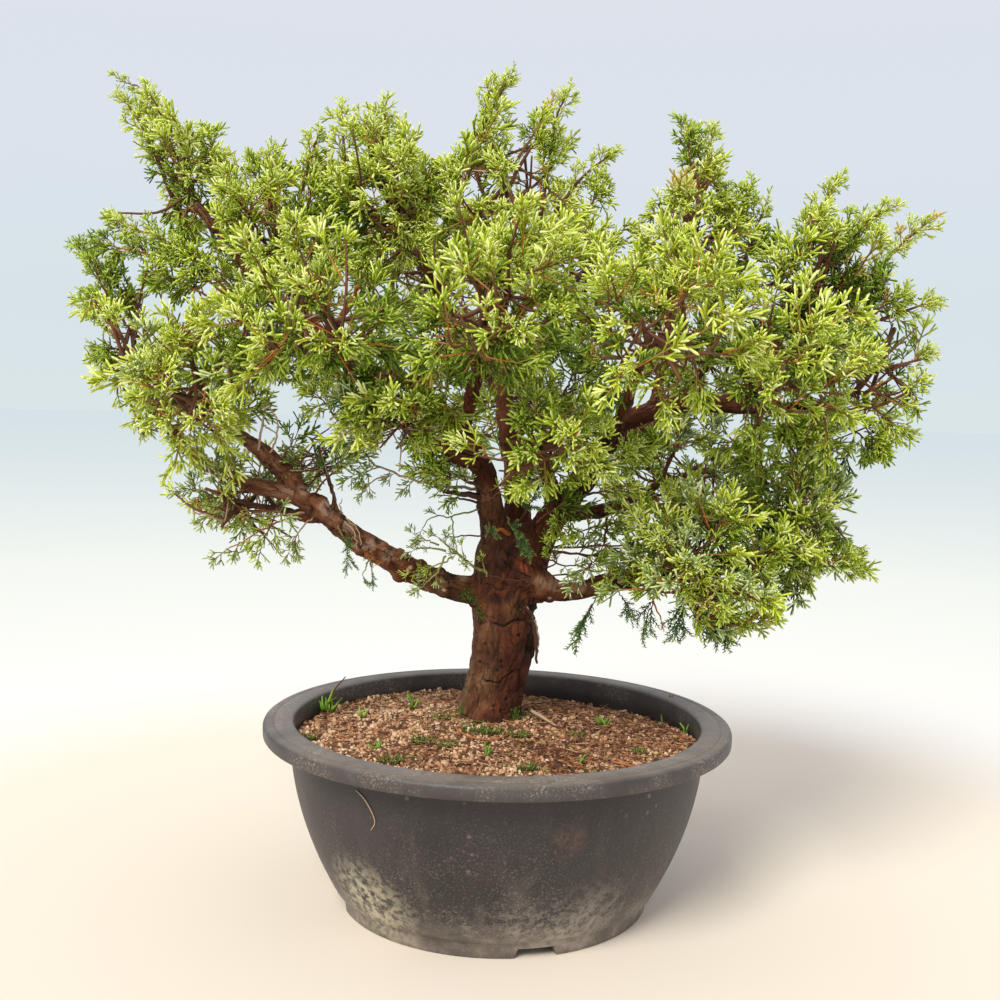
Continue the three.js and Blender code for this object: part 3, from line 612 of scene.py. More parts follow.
def soil_height(x, y):
    """The soil's level, as in the solids: a mound round the trunk, sunk at the back right"""
    seat = TRUNK_FOOT[2] - 0.3
    from_trunk = np.hypot(x - TRUNK_FOOT[0], y - TRUNK_FOOT[1])
    mound = np.clip(1 - (from_trunk - SOIL_SEAT_RADIUS) / SOIL_MOUND_WIDTH, 0, 1) ** 1.3
    sunk = SOIL_SUNK * np.clip((0.6 * x + 0.8 * y - SOIL_SUNK_FROM) / SOIL_SUNK_WIDTH, 0, 1)
    uneven = SOIL_UNEVEN * np.sin(x / SOIL_WAVE + 1) * np.sin(y / SOIL_WAVE + 2) * (1 - mound)
    lumps = 0.5 * wobble(np.column_stack([x, y, np.zeros_like(x)]), 8, 2)
    return SOIL_AT_WALL + (seat - SOIL_AT_WALL) * mound - sunk + uneven + lumps - SOIL_GRAIN_DEPTH


def soil_bed():
    # Moist fines under the grains: dark brown, rough, no gloss
    made, tree, surface = material("moist_soil_fines")
    place = add(tree, "ShaderNodeTexCoord", gives="Object")
    grains = add(tree, "ShaderNodeTexVoronoi", {"Vector": place, "Scale": 420})
    lumps = add(tree, "ShaderNodeTexNoise", {"Vector": place, "Scale": 180, "Detail": 5})
    colour = add(tree, "ShaderNodeValToRGB", {"Fac": lumps},
                 stops=[(0.3, "#402a1e"), (0.55, "#67472f"), (0.75, "#8f6b48")])
    tree.links.new(colour, surface.inputs["Base Color"])
    surface.inputs["Roughness"].default_value = 0.95
    bump = add(tree, "ShaderNodeBump", {"Height": grains, "Strength": 0.9, "Distance": 0.001})
    tree.links.new(bump, surface.inputs["Normal"])
    bm = bmesh.new()
    grid_size = BED_RADIUS + 1.6
    bmesh.ops.create_grid(bm, x_segments=BED_SEGMENTS, y_segments=BED_SEGMENTS, size=grid_size)
    for vert in bm.verts:
        square = max(abs(vert.co.x), abs(vert.co.y))
        length = math.hypot(vert.co.x, vert.co.y)
        if length > 0:
            vert.co.x *= square / length * (BED_RADIUS / grid_size)
            vert.co.y *= square / length * (BED_RADIUS / grid_size)
    places = np.array([vert.co[:] for vert in bm.verts])
    heights = soil_height(places[:, 0], places[:, 1])
    for vert, height in zip(bm.verts, heights):
        vert.co.z = height
    rim = [edge for edge in bm.edges if edge.is_boundary]
    skirt = bmesh.ops.extrude_edge_only(bm, edges=rim)["geom"]
    for vert in (item for item in skirt if isinstance(item, bmesh.types.BMVert)):
        length = math.hypot(vert.co.x, vert.co.y)
        vert.co.z = BED_FOOT
        inner = wall_radius(BED_FOOT) - WALL - 0.3
        vert.co.x *= inner / length
        vert.co.y *= inner / length
    bed = finish_bmesh("soil_bed", bm, [made])
    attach(bed, "root")
    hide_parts("soil")


def rotations(rng, count):
    """Random turns, one 3 by 3 matrix each"""
    q = rng.normal(size=(count, 4))
    w, x, y, z = (q / np.linalg.norm(q, axis=1)[:, None]).T
    rows = [
        [1 - 2 * (y * y + z * z), 2 * (x * y - z * w), 2 * (x * z + y * w)],
        [2 * (x * y + z * w), 1 - 2 * (x * x + z * z), 2 * (y * z - x * w)],
        [2 * (x * z - y * w), 2 * (y * z + x * w), 1 - 2 * (x * x + y * y)],
    ]
    return np.moveaxis(np.array(rows), 2, 0)


def ball_shape():
    bm = bmesh.new()
    bmesh.ops.create_icosphere(bm, subdivisions=1, radius=1)
    points = np.array([vert.co[:] for vert in bm.verts])
    triangles = np.array([[vert.index for vert in face.verts] for face in bm.faces])
    bm.free()
    return points, triangles


def soil_grains():
    """Fired clay and pumice grains, one loose shape each"""
    rng = np.random.default_rng(11)
    ball, faces = ball_shape()
    radius = GRAIN_REACH * np.sqrt(rng.uniform(0, 1, GRAINS))
    turn = rng.uniform(0, 2 * math.pi, GRAINS)
    x, y = radius * np.cos(turn), radius * np.sin(turn)
    keep = np.hypot(x - TRUNK_FOOT[0], y - TRUNK_FOOT[1]) > GRAINS_CLEAR
    x, y = x[keep], y[keep]
    count = len(x)
    size = GRAIN_SMALLEST + GRAIN_RANGE * rng.uniform(0, 1, count) ** 2.1
    z = soil_height(x, y) + size * rng.uniform(-0.2, 0.6, count)
    shapes = ball[None] * rng.uniform(0.72, 1.2, (count, len(ball), 1))
    shapes = shapes * rng.uniform(0.6, 1.15, (count, 1, 3)) * size[:, None, None]
    points = np.einsum("nvi,nji->nvj", shapes, rotations(rng, count))
    points = points + np.column_stack([x, y, z])[:, None]
    triangles = faces[None] + (np.arange(count) * len(ball))[:, None, None]
    # Pale dry grains lie in drifts, and all grains are painted paler towards the left, where the
    # light comes from, as painted light; dark crumbs of humus lie between them
    flat = np.column_stack([x, y, np.zeros(count)])
    pale = 0.6 + 0.6 * wobble(flat, 26, 5) + 0.3 * wobble(flat, 9, 6) - x / 640
    shade = pale + rng.normal(0, 0.34, count)
    colours = np.digitize(shade, [-0.05, 0.2, 0.45, 0.72, 1.05])
    made = [
        plain(f"baked_clay_grain_{k}", code, 0.9, 0.2)
        for k, code in enumerate(("#5f3c2a", "#885d44", "#a9795a", "#c09472", "#d3ae89", "#e4c6a4"))
    ]
    grains = mesh_of(
        "soil_grains", points.reshape(-1, 3), triangles.reshape(-1, 3), made,
        np.repeat(colours, len(faces)), smooth=False,
    )
    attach(grains, "root")


def soil_litter():
    """Dry leaf tips, twig ends and a few green sprigs on the soil"""
    rng = np.random.default_rng(12)
    heap = Heap()
    for _ in range(LITTER_TRIES):
        radius, turn = LITTER_REACH * math.sqrt(rng.uniform()), rng.uniform(0, 2 * math.pi)
        x, y = radius * math.cos(turn), radius * math.sin(turn)
        bare = rng.uniform() > 0.75 + 0.004 * x + 0.5 * wobble(np.array([[x, y, 0]]), 22, 28)[0]
        if bare or math.hypot(x - TRUNK_FOOT[0], y - TRUNK_FOOT[1]) < LITTER_CLEAR:
            continue
        heading = rng.uniform(0, 2 * math.pi)
        length = 2.5 + 7 * rng.uniform() ** 2
        z = float(soil_height(np.array([x]), np.array([y]))[0]) + 1.6
        step = np.array([math.cos(heading), math.sin(heading), rng.uniform(-0.08, 0.22)]) * length
        bow = np.array([-math.sin(heading), math.cos(heading), 0]) * rng.uniform(-0.2, 0.2) * length
        start = np.array([x, y, z])
        path = np.array([start, start + step * 0.5 + bow, start + step])
        if np.hypot(path[:, 0], path[:, 1]).max() <= LITTER_REACH + 3:
            thick = rng.uniform(0.22, 0.5)
            colour = rng.choice(5, p=[0.2, 0.4, 0.3, 0.07, 0.03])
            heap.put(*tube(path, [thick, thick * 0.9, thick * 0.4]), colour)
    made = [
        plain(f"dry_litter_{k}", code, 0.8, 0.25)
        for k, code in enumerate(("#c49c74", "#a06f4e", "#6c4634", "#a45f3a", "#8a9040"))
    ]
    litter = heap.piece("soil_litter", made)
    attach(litter, "root")


def limb_of(points, radii, seed, samples=60):
    path = smooth_path(points, samples)
    share = np.linspace(0, 1, samples)
    length = np.linalg.norm(np.diff(path, axis=0), axis=1).sum()
    knobs = wobble(np.column_stack([share * length, np.zeros(samples), np.zeros(samples)]), 15, seed)
    radius = (radii[0] + (radii[1] - radii[0]) * share) * (1 + 0.1 * knobs)
    return {"path": path, "radius": radius, "length": length}


def trunk_limb():
    samples = 80
    path = smooth_path(TRUNK_PATH, samples)
    share = np.linspace(0, 1, samples)
    flare = TRUNK_FLARE * np.exp(-share * TRUNK_FLARE_FADE)
    fork = FORK_SWELL * np.exp(-(((share - FORK_SHARE) / 0.16) ** 2))
    above = np.clip((share - FORK_SHARE) / 0.26, 0, 1)
    radius = (TRUNK_RADIUS + flare + fork) * np.sqrt(np.clip(1 - above**2, 0, 1))
    return {"path": path, "radius": radius, "length": TRUNK_LENGTH}


def depth_in(mass, point):
    return float(np.linalg.norm((point - mass["middle"]) / mass["reach"]))


def settle_masses(limbs):
    """Gives each mass its bough, and the planes that keep it to its own space"""
    masses = {}
    for order, (name, (middle, reach, limb, at, branchlets, grey)) in enumerate(MASSES.items()):
        mass = {
            "name": name, "order": order, "middle": np.array(middle, float),
            "reach": np.array(reach, float), "branchlets": branchlets, "grey": grey, "walls": [],
        }
        carrier = limbs[limb]
        if at == 1:
            mass["bough"] = carrier
        else:
            start = along(carrier["path"], at)
            tip = mass["middle"] + (start - mass["middle"]) * BOUGH_DEPTH / depth_in(mass, start)
            bow = (start + tip) / 2 - [0, 0, BOUGH_SAG * np.linalg.norm(tip - start)]
            carried = carrier["radius"][int(at * (len(carrier["radius"]) - 1))]
            base = min(BOUGH_THICKEST, BOUGH_BASE * carried)
            mass["bough"] = limb_of([start, bow, tip], (base, min(BOUGH_TIP, base)), 20 + order, 40)
            limbs[f"{name}_bough"] = mass["bough"]
        masses[name] = mass
    for mass in masses.values():
        for other in masses.values():
            if other is mass:
                continue
            direction = other["middle"] - mass["middle"]
            distance = np.linalg.norm(direction)
            direction = direction / distance
            own, theirs = (np.linalg.norm(item["reach"] * direction) for item in (mass, other))
            if own + theirs > distance - 2 * CELL_MARGIN:
                limit = direction @ mass["middle"] + distance * own / (own + theirs) - CELL_MARGIN
                mass["walls"].append((direction, limit))
    return masses


def edge_of(mass, start, direction):
    """The furthest point of a mass's space from a place inside it"""
    run = mass["middle"] + direction * mass["reach"] - start
    share = 1.0
    for wall, limit in mass["walls"]:
        rise = wall @ run
        if rise > 1e-6:
            share = min(share, (limit - EDGE_MARGIN - wall @ start) / rise)
    return start + run * max(share, 0.1)


def even_direction(index, count, start):
    height = 1 - 2 * (index + 0.5) / count
    turn = start + index * math.pi * (3 - math.sqrt(5))
    ring = math.sqrt(1 - height * height)
    return np.array([ring * math.cos(turn), ring * math.sin(turn), height])


def standing(across, upward, onward, place):
    """The matrix that lays a thing's own axes along these and moves it to a place"""
    matrix = Matrix.Identity(4)
    for row in range(3):
        for column, way in enumerate((across, upward, onward, place)):
            matrix[row][column] = way[row]
    return matrix


def limb_skin(bm, limb, sides):
    """One limb as a closed tube, made by extruding a disc from ring to ring"""
    headings, across, upward = frames_on(limb["path"])
    last = len(limb["path"]) - 1

    def ring_matrix(level):
        return standing(across[level], upward[level], headings[level], limb["path"][level])

    disc = bmesh.ops.create_circle(
        bm, cap_ends=True, segments=sides, radius=max(limb["radius"][0], 0.5), matrix=ring_matrix(0),
    )["verts"]
    face = disc[0].link_faces[0]
    base = face
    for level in range(2, last + 1, 2):
        made = bmesh.ops.extrude_face_region(bm, geom=[face])["geom"]
        ring = [item for item in made if isinstance(item, bmesh.types.BMVert)]
        before = ring_matrix(level - 2)
        size = max(limb["radius"][level], 0.5) / max(limb["radius"][level - 2], 0.5)
        move = ring_matrix(level) @ Matrix.Scale(size, 4) @ before.inverted()
        bmesh.ops.transform(bm, matrix=move, verts=ring)
        if face is not base:
            bmesh.ops.delete(bm, geom=[face], context="FACES_ONLY")
        face = next(item for item in made if isinstance(item, bmesh.types.BMFace))
    bmesh.ops.recalc_face_normals(bm, faces=bm.faces)


def flaking_bark():
    # Juniper bark: thin fibrous plates, red-brown where fresh and olive-grey where weathered, with
    # dark seams between them, and orange where wood is torn; matt. Its tone also carries painted light
    # and shade, and painted highlights and painted shade in hollows come through the scar and seam shares
    made, tree, surface = material("flaking_juniper_bark")
    place = add(tree, "ShaderNodeAttribute", gives="Vector", attribute_name="along_bark")
    shares = {
        name: add(tree, "ShaderNodeAttribute", gives="Fac", attribute_name=name)
        for name in ("seam_and_shade", "tone", "olive", "moss", "scar_and_highlight", "torn", "thick")
    }
    fibres = add(tree, "ShaderNodeMapping", {"Vector": place, "Scale": [1, 1, 0.35]})
    fine = add(tree, "ShaderNodeTexNoise", {"Vector": fibres, "Scale": 560, "Detail": 5, "Roughness": 0.7})
    patches = add(tree, "ShaderNodeTexNoise", {"Vector": place, "Scale": 95, "Detail": 3, "Roughness": 0.6})
    mottle = add(tree, "ShaderNodeMapRange", {"Value": fine, "To Min": 0.2, "To Max": 0.8})
    blend = add(tree, "ShaderNodeMath", {0: shares["tone"], 1: mottle}, operation="ADD")
    blend = add(tree, "ShaderNodeMath", {0: blend, 1: patches}, operation="ADD")
    spread = add(tree, "ShaderNodeMapRange", {"Value": blend, "From Min": 0.65, "From Max": 2.2})
    red = add(tree, "ShaderNodeValToRGB", {"Fac": spread}, stops=[
        (0.12, "#200c06"), (0.36, "#49200f"), (0.56, "#6b391f"), (0.75, "#8e5d41"), (0.92, "#b69179")])
    olive = add(tree, "ShaderNodeValToRGB", {"Fac": spread}, stops=[
        (0.12, "#251c10"), (0.36, "#443620"), (0.56, "#635236"), (0.75, "#83744f"), (0.92, "#a59c7c")])
    # Hairline splits along the wood, where one noise crosses its own middle
    split = add(tree, "ShaderNodeTexNoise", {"Vector": fibres, "Scale": 170, "Detail": 3, "Roughness": 0.6})
    split = add(tree, "ShaderNodeMath", {0: split, 1: 0.5}, operation="SUBTRACT")
    split = add(tree, "ShaderNodeMath", {0: split}, operation="ABSOLUTE")
    split = add(tree, "ShaderNodeMapRange", {"Value": split, "From Min": 0.03, "From Max": 0.004})
    # Seams that the mesh is too coarse for, in plates about 8 mm wide and 14 mm long
    bent = add(tree, "ShaderNodeTexNoise", {"Vector": place, "Scale": 150, "Detail": 2}, gives="Color")
    bent = add(tree, "ShaderNodeVectorMath", {0: bent, 1: [0.012, 0.012, 0.012]}, operation="MULTIPLY")
    bent = add(tree, "ShaderNodeVectorMath", {0: place, 1: bent}, operation="ADD")
    bent = add(tree, "ShaderNodeMapping", {"Vector": bent, "Scale": [1, 1, 0.6]})
    plates = add(tree, "ShaderNodeTexVoronoi", {"Vector": bent, "Scale": 125}, feature="DISTANCE_TO_EDGE")
    seams = add(tree, "ShaderNodeMapRange", {"Value": plates, "From Min": 0.07, "From Max": 0.0})
    broken = add(tree, "ShaderNodeMapRange", {"Value": patches, "From Min": 0.44, "From Max": 0.6})
    seams = add(tree, "ShaderNodeMath", {0: seams, 1: broken}, operation="MULTIPLY")
    seams = add(tree, "ShaderNodeMath", {0: seams, 1: shares["thick"]}, operation="MULTIPLY")
    gone = add(tree, "ShaderNodeMapRange", {
        "Value": patches, "From Min": 0.62, "From Max": 0.42, "To Max": 0.3})
    split = add(tree, "ShaderNodeMath", {0: split, 1: gone}, operation="MULTIPLY")
    seams = add(tree, "ShaderNodeMath", {0: seams, 1: split}, operation="MAXIMUM")
    colour = add(tree, "ShaderNodeMix", {"Factor": shares["olive"], "A": red, "B": olive}, data_type="RGBA")
    torn = add(tree, "ShaderNodeMapRange", {"Value": fine, "From Min": 0.35, "From Max": 0.6, "To Max": 0.8})
    torn = add(tree, "ShaderNodeMath", {0: torn, 1: shares["torn"]}, operation="MULTIPLY")
    # The seam share paints seams and cracks dark, and painted shade into the hollows; the scar share paints
    # pale scars, and painted highlights on the right bough
    for factor, code in (
        (torn, "#a24e2a"), (seams, "#24120b"), (shares["seam_and_shade"], "#1c0d08"), (shares["scar_and_highlight"], "#c8a484"),
        (shares["moss"], "#4a5722"),
    ):
        colour = add(tree, "ShaderNodeMix", {"Factor": factor, "A": colour, "B": code}, data_type="RGBA")
    tree.links.new(colour, surface.inputs["Base Color"])
    surface.inputs["Roughness"].default_value = 0.82
    surface.inputs["Specular IOR Level"].default_value = 0.3
    relief = add(tree, "ShaderNodeMath", {0: fine, 1: seams}, operation="SUBTRACT")
    bump = add(tree, "ShaderNodeBump", {"Height": relief, "Strength": 0.9, "Distance": 0.0011})
    tree.links.new(bump, surface.inputs["Normal"])
    return made


# Places on the bark seen in the photo: where they are in its picture, and their size in millimetres
MOSS_PLACES = [
    ((468, 598), 8), ((432, 563), 5), ((484, 727), 8), ((519, 716), 7), ((443, 711), 6), ((474, 615), 5),
]
SCAR_PLACES = [((444, 590), 2.6), ((410, 568), 2.6), ((549, 598), 2.4)]
TORN_PLACES = [((520, 566), 15), ((505, 578), 9), ((500, 592), 10), ((536, 558), 10), ((351, 297), 9)]
# Painted highlights: pale spots where light falls on the tops of the boughs and the trunk
HIGHLIGHT_PLACES = [
    ((540, 583), 15), ((556, 586), 15), ((576, 588), 14), ((592, 590), 10), ((386, 556), 10),
    ((370, 546), 8), ((325, 509), 10), ((305, 489), 8), ((462, 578), 8), ((420, 576), 10), ((347, 527), 8),
]
# Painted highlights along the top of the right bough, in the pale scar colour
BOUGH_HIGHLIGHTS = [((541, 582), 8), ((552, 585), 8), ((566, 587), 7), ((582, 588), 6)]
# Painted shade: dark places, pressed in as hollows and painted dark where shade falls
DARK_PLACES = [
    ((521, 606), 9), ((494, 600), 8), ((514, 549), 9), ((509, 597), 8), ((530, 650), 7), ((524, 690), 7),
    ((536, 612), 6), ((504, 586), 5), ((452, 574), 5), ((434, 561), 5), ((421, 586), 5), ((409, 557), 4),
    ((394, 566), 5), ((378, 541), 4), ((367, 556), 4), ((352, 540), 5), ((344, 516), 4), ((332, 530), 4),
    ((318, 494), 4), ((311, 513), 4), ((296, 484), 4), ((284, 464), 4), ((272, 474), 4),
]
# Cracks seen in the bark, in the photo's pixels, and how wide each is there
CRACKS = [
    ([(481, 668), (481, 676), (484, 681), (491, 682), (500, 684), (503, 679), (508, 676), (514, 671)], 1.5),
    ([(471, 619), (480, 624), (488, 622), (496, 624), (504, 626), (515, 621), (527, 619)], 2.2),
    ([(474, 607), (484, 615), (494, 619)], 1.5),
    ([(531, 606), (528, 622), (530, 640), (533, 655), (536, 664)], 2.0),
    ([(527, 640), (529, 650), (524, 662)], 1.4), ([(485, 699), (489, 706), (486, 714)], 1.2),
    ([(519, 671), (522, 680), (520, 688)], 1.4), ([(507, 692), (514, 695), (521, 692)], 1.2),
    ([(500, 558), (513, 570), (531, 577)], 1.5), ([(495, 566), (510, 578), (527, 585)], 1.4),
    ([(505, 550), (519, 560), (532, 565)], 1.3), ([(486, 584), (497, 590), (509, 589)], 1.4),
    ([(492, 643), (496, 650), (495, 656)], 0.9), ([(476, 688), (479, 697), (477, 707)], 1.0),
    ([(500, 709), (503, 715), (501, 722)], 1.0), ([(511, 640), (514, 647), (512, 655)], 0.9),
    ([(437, 565), (441, 574), (447, 580)], 1.2), ([(405, 556), (409, 562), (407, 571)], 1.2),
    ([(383, 548), (388, 556), (385, 563)], 1.1), ([(362, 533), (358, 542), (363, 550)], 1.2),
    ([(325, 503), (331, 512), (328, 520)], 1.2), ([(301, 488), (315, 492), (327, 500)], 1.3),
    ([(287, 462), (296, 470), (299, 480)], 1.1), ([(532, 586), (536, 592), (533, 600)], 1.3),
    ([(541, 577), (539, 584), (543, 593)], 1.0), ([(566, 580), (569, 588), (566, 596)], 0.9),
    ([(456, 566), (447, 572), (449, 583)], 1.2), ([(428, 556), (422, 566), (426, 577)], 1.3),
    ([(398, 549), (391, 558), (396, 572)], 1.4), ([(372, 535), (366, 543), (371, 553)], 1.3),
    ([(349, 516), (341, 524), (344, 537)], 1.4), ([(314, 492), (308, 500), (312, 512)], 1.3),
    ([(288, 470), (280, 476), (284, 484)], 1.2), ([(437, 573), (430, 581), (419, 580)], 1.0),
]
PITS = [(497, 671), (501, 662), (479, 662), (518, 635), (485, 644), (507, 700), (493, 706)]
PIT_WIDTH = 1.8
# Boughs that are slighter in the photo than the solids can show
SLIGHT_BOUGHS = {
    "left_gap_bough": 0.45, "right_hanging_bough": 0.8, "left_bough": 0.92, "left_lower_limb": 0.9,
}
# A strip of bark that has come away at the trunk's right edge
LOOSE_STRIP = [(529, 606), (546, 606), (546, 655), (537, 667), (531, 652), (527, 628)]
LOOSE_STRIP_LIFT = 1.3
FOOT_DRAWN_IN = 4.2
KNOBS = [
    ((444, 589), 5.0), ((410, 568), 5.5), ((432, 586), 4.4), ((399, 575), 4.6), ((383, 548), 4.5),
    ((424, 562), 4.2), ((361, 549), 4.6), ((340, 522), 5.0), ((322, 505), 5.5), ((301, 497), 5.0),
    ((298, 478), 4.4), ((549, 597), 4.2), ((566, 584), 4.4), ((471, 649), 2.6), ((469, 661), 2.4),
    ((585, 590), 3.6), ((505, 560), 5.0), ((497, 543), 5.0), ((482, 560), 5.0), ((540, 586), 10.0),
    ((531, 577), 9.0), ((356, 527), 3.8), ((400, 551), 3.6), ((315, 496), 4.0), ((441, 568), 3.8),
    ((536, 545), 6.0), ((503, 553), 3.4),
]


def seen_at(pixel, depth):
    """The point that the photo shows at a pixel, on the upright plane at that depth"""
    right, upward, forward = camera_axes()
    x, y = (value - PHOTO_SIZE / 2 for value in pixel)
    ray = forward + (x * right - y * upward) / (LENS_PER_WIDTH * PHOTO_SIZE)
    return CAMERA_PLACE + ray * (depth - CAMERA_PLACE[1]) / ray[1]


def on_wood(pixel, limbs, out=1.0):
    """The point that the photo shows at a pixel, on the front of the wood nearest to it"""
    best = None
    for limb in limbs.values():
        if limb["radius"][0] < 4.5:
            continue
        path, radii = limb["path"][::3], limb["radius"][::3]
        near = np.array([seen_at(pixel, place[1] - radius * 0.8) for place, radius in zip(path, radii)])
        gap = np.linalg.norm(near - path, axis=1) / radii
        pick = int(gap.argmin())
        if best is None or gap[pick] < best[0]:
            best = gap[pick], path[pick] + unit(near[pick] - path[pick]) * radii[pick] * out
    return best[1]


def from_lines(picture, lines):
    """How far each place in the picture is from the nearest line, as a share of its width"""
    nearest = np.full(len(picture), 9.0)
    for points, width in lines:
        for start, end in zip(points, points[1:]):
            start, run = np.array(start), np.array(end) - np.array(start)
            share = np.clip((picture - start) @ run / (run @ run), 0, 1)
            gap = np.linalg.norm(picture - start - share[:, None] * run, axis=1)
            nearest = np.minimum(nearest, gap / width)
    return nearest


def inside(picture, outline):
    """Whether each place in the picture is inside an outline"""
    found = np.zeros(len(picture), dtype=bool)
    x, y = picture.T
    for (x1, y1), (x2, y2) in zip(outline, outline[1:] + outline[:1]):
        if y1 != y2:
            found ^= ((y1 > y) != (y2 > y)) & (x < x1 + (y - y1) * (x2 - x1) / (y2 - y1))
    return found


def refine_trunk(mesh):
    """Halves the faces on the trunk's front, where the bark is seen closest"""
    bm = bmesh.new()
    bm.from_mesh(mesh)
    close = {
        vert for vert in bm.verts
        if abs(1000 * (vert.co.x - AXIS[0])) < 34 and 1000 * (vert.co.y - AXIS[1]) < 4
        and vert.co.z < 0.212
    }
    edges = [edge for edge in bm.edges if close.issuperset(edge.verts)]
    bmesh.ops.subdivide_edges(bm, edges=edges, cuts=1, use_grid_fill=True)
    bm.to_mesh(mesh)
    bm.free()


def build_bark(limbs):
    bm = bmesh.new()
    for name, limb in limbs.items():
        if name in SLIGHT_BOUGHS:
            limb = {**limb, "radius": limb["radius"] * SLIGHT_BOUGHS[name]}
        limb_skin(bm, limb, 28 if name == "trunk" else 14)
    for pixel, size in KNOBS:
        place = Matrix.Translation(on_wood(pixel, limbs, 0.95))
        bmesh.ops.create_icosphere(bm, subdivisions=2, radius=size, matrix=place)
    skin = finish_bmesh("bark_skin", bm, [])
    remesh = skin.modifiers.new("one_skin", "REMESH")
    remesh.mode = "VOXEL"
    remesh.voxel_size = BARK_VOXEL / 1000
    remesh.adaptivity = 0
    apply_modifiers(skin)
    mesh = skin.data
    refine_trunk(mesh)
    count = len(mesh.vertices)
    places = np.empty(3 * count, dtype=np.float32)
    mesh.vertices.foreach_get("co", places)
    places = (places.reshape(-1, 3).astype(float) - AXIS) * 1000
    places = relax(mesh, places, 3)
    # The nearest limb gives each point its place along and around the wood
    listed = list(limbs.values())
    lines = np.vstack([limb["path"] for limb in listed])
    owner = np.concatenate([np.full(len(limb["path"]), k) for k, limb in enumerate(listed)])
    thickness = np.concatenate([limb["radius"] for limb in listed])
    run = np.concatenate([np.linspace(0, limb["length"], len(limb["path"])) for limb in listed])
    _, across, upward = (np.vstack(part) for part in zip(*(frames_on(limb["path"]) for limb in listed)))
    nearest = np.empty(count, dtype=int)
    for start in range(0, count, 4000):
        part = places[start:start + 4000]
        gap = np.linalg.norm(part[:, None] - lines[None], axis=2) / (thickness[None] + 1.5)
        nearest[start:start + 4000] = gap.argmin(axis=1)
    offset = places - lines[nearest]
    out = offset / np.maximum(np.linalg.norm(offset, axis=1), 1e-6)[:, None]
    side = np.einsum("ni,ni->n", out, across[nearest])
    up = np.einsum("ni,ni->n", out, upward[nearest])
    round_size = thickness[nearest]
    onward = run[nearest] * 0.5 + 61 * owner[nearest]
    on_bark = np.column_stack([side * round_size, up * round_size, onward])
    # Plates with seams that come and go, and lumps; both smaller on thinner limbs
    big = np.clip((round_size - 3) / 13, 0, 1)
    edge, plate = cells(on_bark + 1.6 * wobbles(on_bark, 5, (11, 12, 13)), 9.5, 3)
    come_and_go = np.clip(0.2 + 1.3 * wobble(on_bark, 16, 14), 0, 1)
    seams = np.clip(1 - edge / 0.11, 0, 1) * come_and_go * (0.3 + 0.7 * big)
    small, flake = cells(on_bark * [1, 1, 1.3] + 0.8 * wobbles(on_bark, 3, (25, 26, 27)), 4.6, 4)
    flaky = np.clip(0.3 + 1.3 * wobble(on_bark, 11, 15) + 0.4 * (1 - big), 0, 1)
    flakes = np.clip(1 - small / 0.15, 0, 1) * flaky
    normals = np.empty(3 * count, dtype=np.float32)
    mesh.vertices.foreach_get("normal", normals)
    normals = normals.reshape(-1, 3)
    stretched = on_bark * [1, 1, 2]
    swell = 1.1 * big * wobble(stretched, 17, 6) + (1.2 - 0.65 * big) * wobble(stretched, 6, 7)
    picture = project(places) * PHOTO_SIZE
    faces_us = np.einsum("ni,ni->n", normals, CAMERA_PLACE - places) > 0
    fronts = faces_us & (places[:, 1] < lines[nearest][:, 1] + 1)
    bent = picture + 1.1 * wobbles(places, 2.6, (19, 20))

    def seen_spots(listed):
        lines = [([place, (place[0] + 0.4, place[1])], size) for place, size in listed]
        return np.where(fronts, np.clip(1.5 - 1.5 * from_lines(bent, lines), 0, 1), 0)

    # The dark places are pressed in, and painted dark as painted shade
    shaded_hollow = seen_spots(DARK_PLACES)
    worn = np.clip(0.62 + 0.6 * wobble(places, 4, 22), 0.1, 1)
    cracks = np.where(fronts, worn * np.clip(1.3 - from_lines(bent, CRACKS) / 0.75, 0, 1), 0)
    pits = [([place, (place[0] + 0.5, place[1])], PIT_WIDTH) for place in PITS]
    cracks = np.maximum(cracks, np.where(fronts, np.clip(1.2 - from_lines(picture, pits), 0, 1), 0))
    side_of = places[:, 0] - lines[nearest][:, 0]
    strip = fronts & inside(picture + 1.5 * wobble(places, 2.5, 17)[:, None], LOOSE_STRIP)
    relief = swell + (0.35 * (plate - 0.5) - 1.0 * seams) * big - (0.6 - 0.3 * big) * flakes
    relief = relief + 0.3 * (flake - 0.5) - 1.5 * shaded_hollow - 1.1 * cracks
    relief = relief + 0.2 * wobble(on_bark, 1.6, 8) * (0.4 + big) + LOOSE_STRIP_LIFT * strip
    # The trunk's foot draws in on the right
    drawn_in = np.clip(side_of / round_size - 0.1, 0, 1) * np.clip((146 - places[:, 2]) / 40, 0, 1)
    relief = relief - FOOT_DRAWN_IN * drawn_in * (np.abs(places[:, 0]) < 40)
    places = places + normals * relief[:, None]
    places[:, 2] = np.maximum(places[:, 2], TRUNK_FOOT[2] - 3)
    mesh.vertices.foreach_set("co", (places / 1000 + AXIS).astype(np.float32).ravel())
    from_axis = (places[:, 0] - lines[nearest][:, 0]) / np.maximum(round_size, 1)
    low = np.clip((200 - places[:, 2]) / 60, 0, 1)
    greyed = -0.04 - 0.42 * from_axis * low + 0.4 * wobble(on_bark, 14, 9)
    greyed = greyed + 0.1 * (places[:, 0] < -20) + 0.9 * strip
    store(mesh, "seam_and_shade", np.clip(seams * 0.8 + flakes * (0.7 - 0.4 * big) + 0.6 * shaded_hollow + cracks, 0, 1))
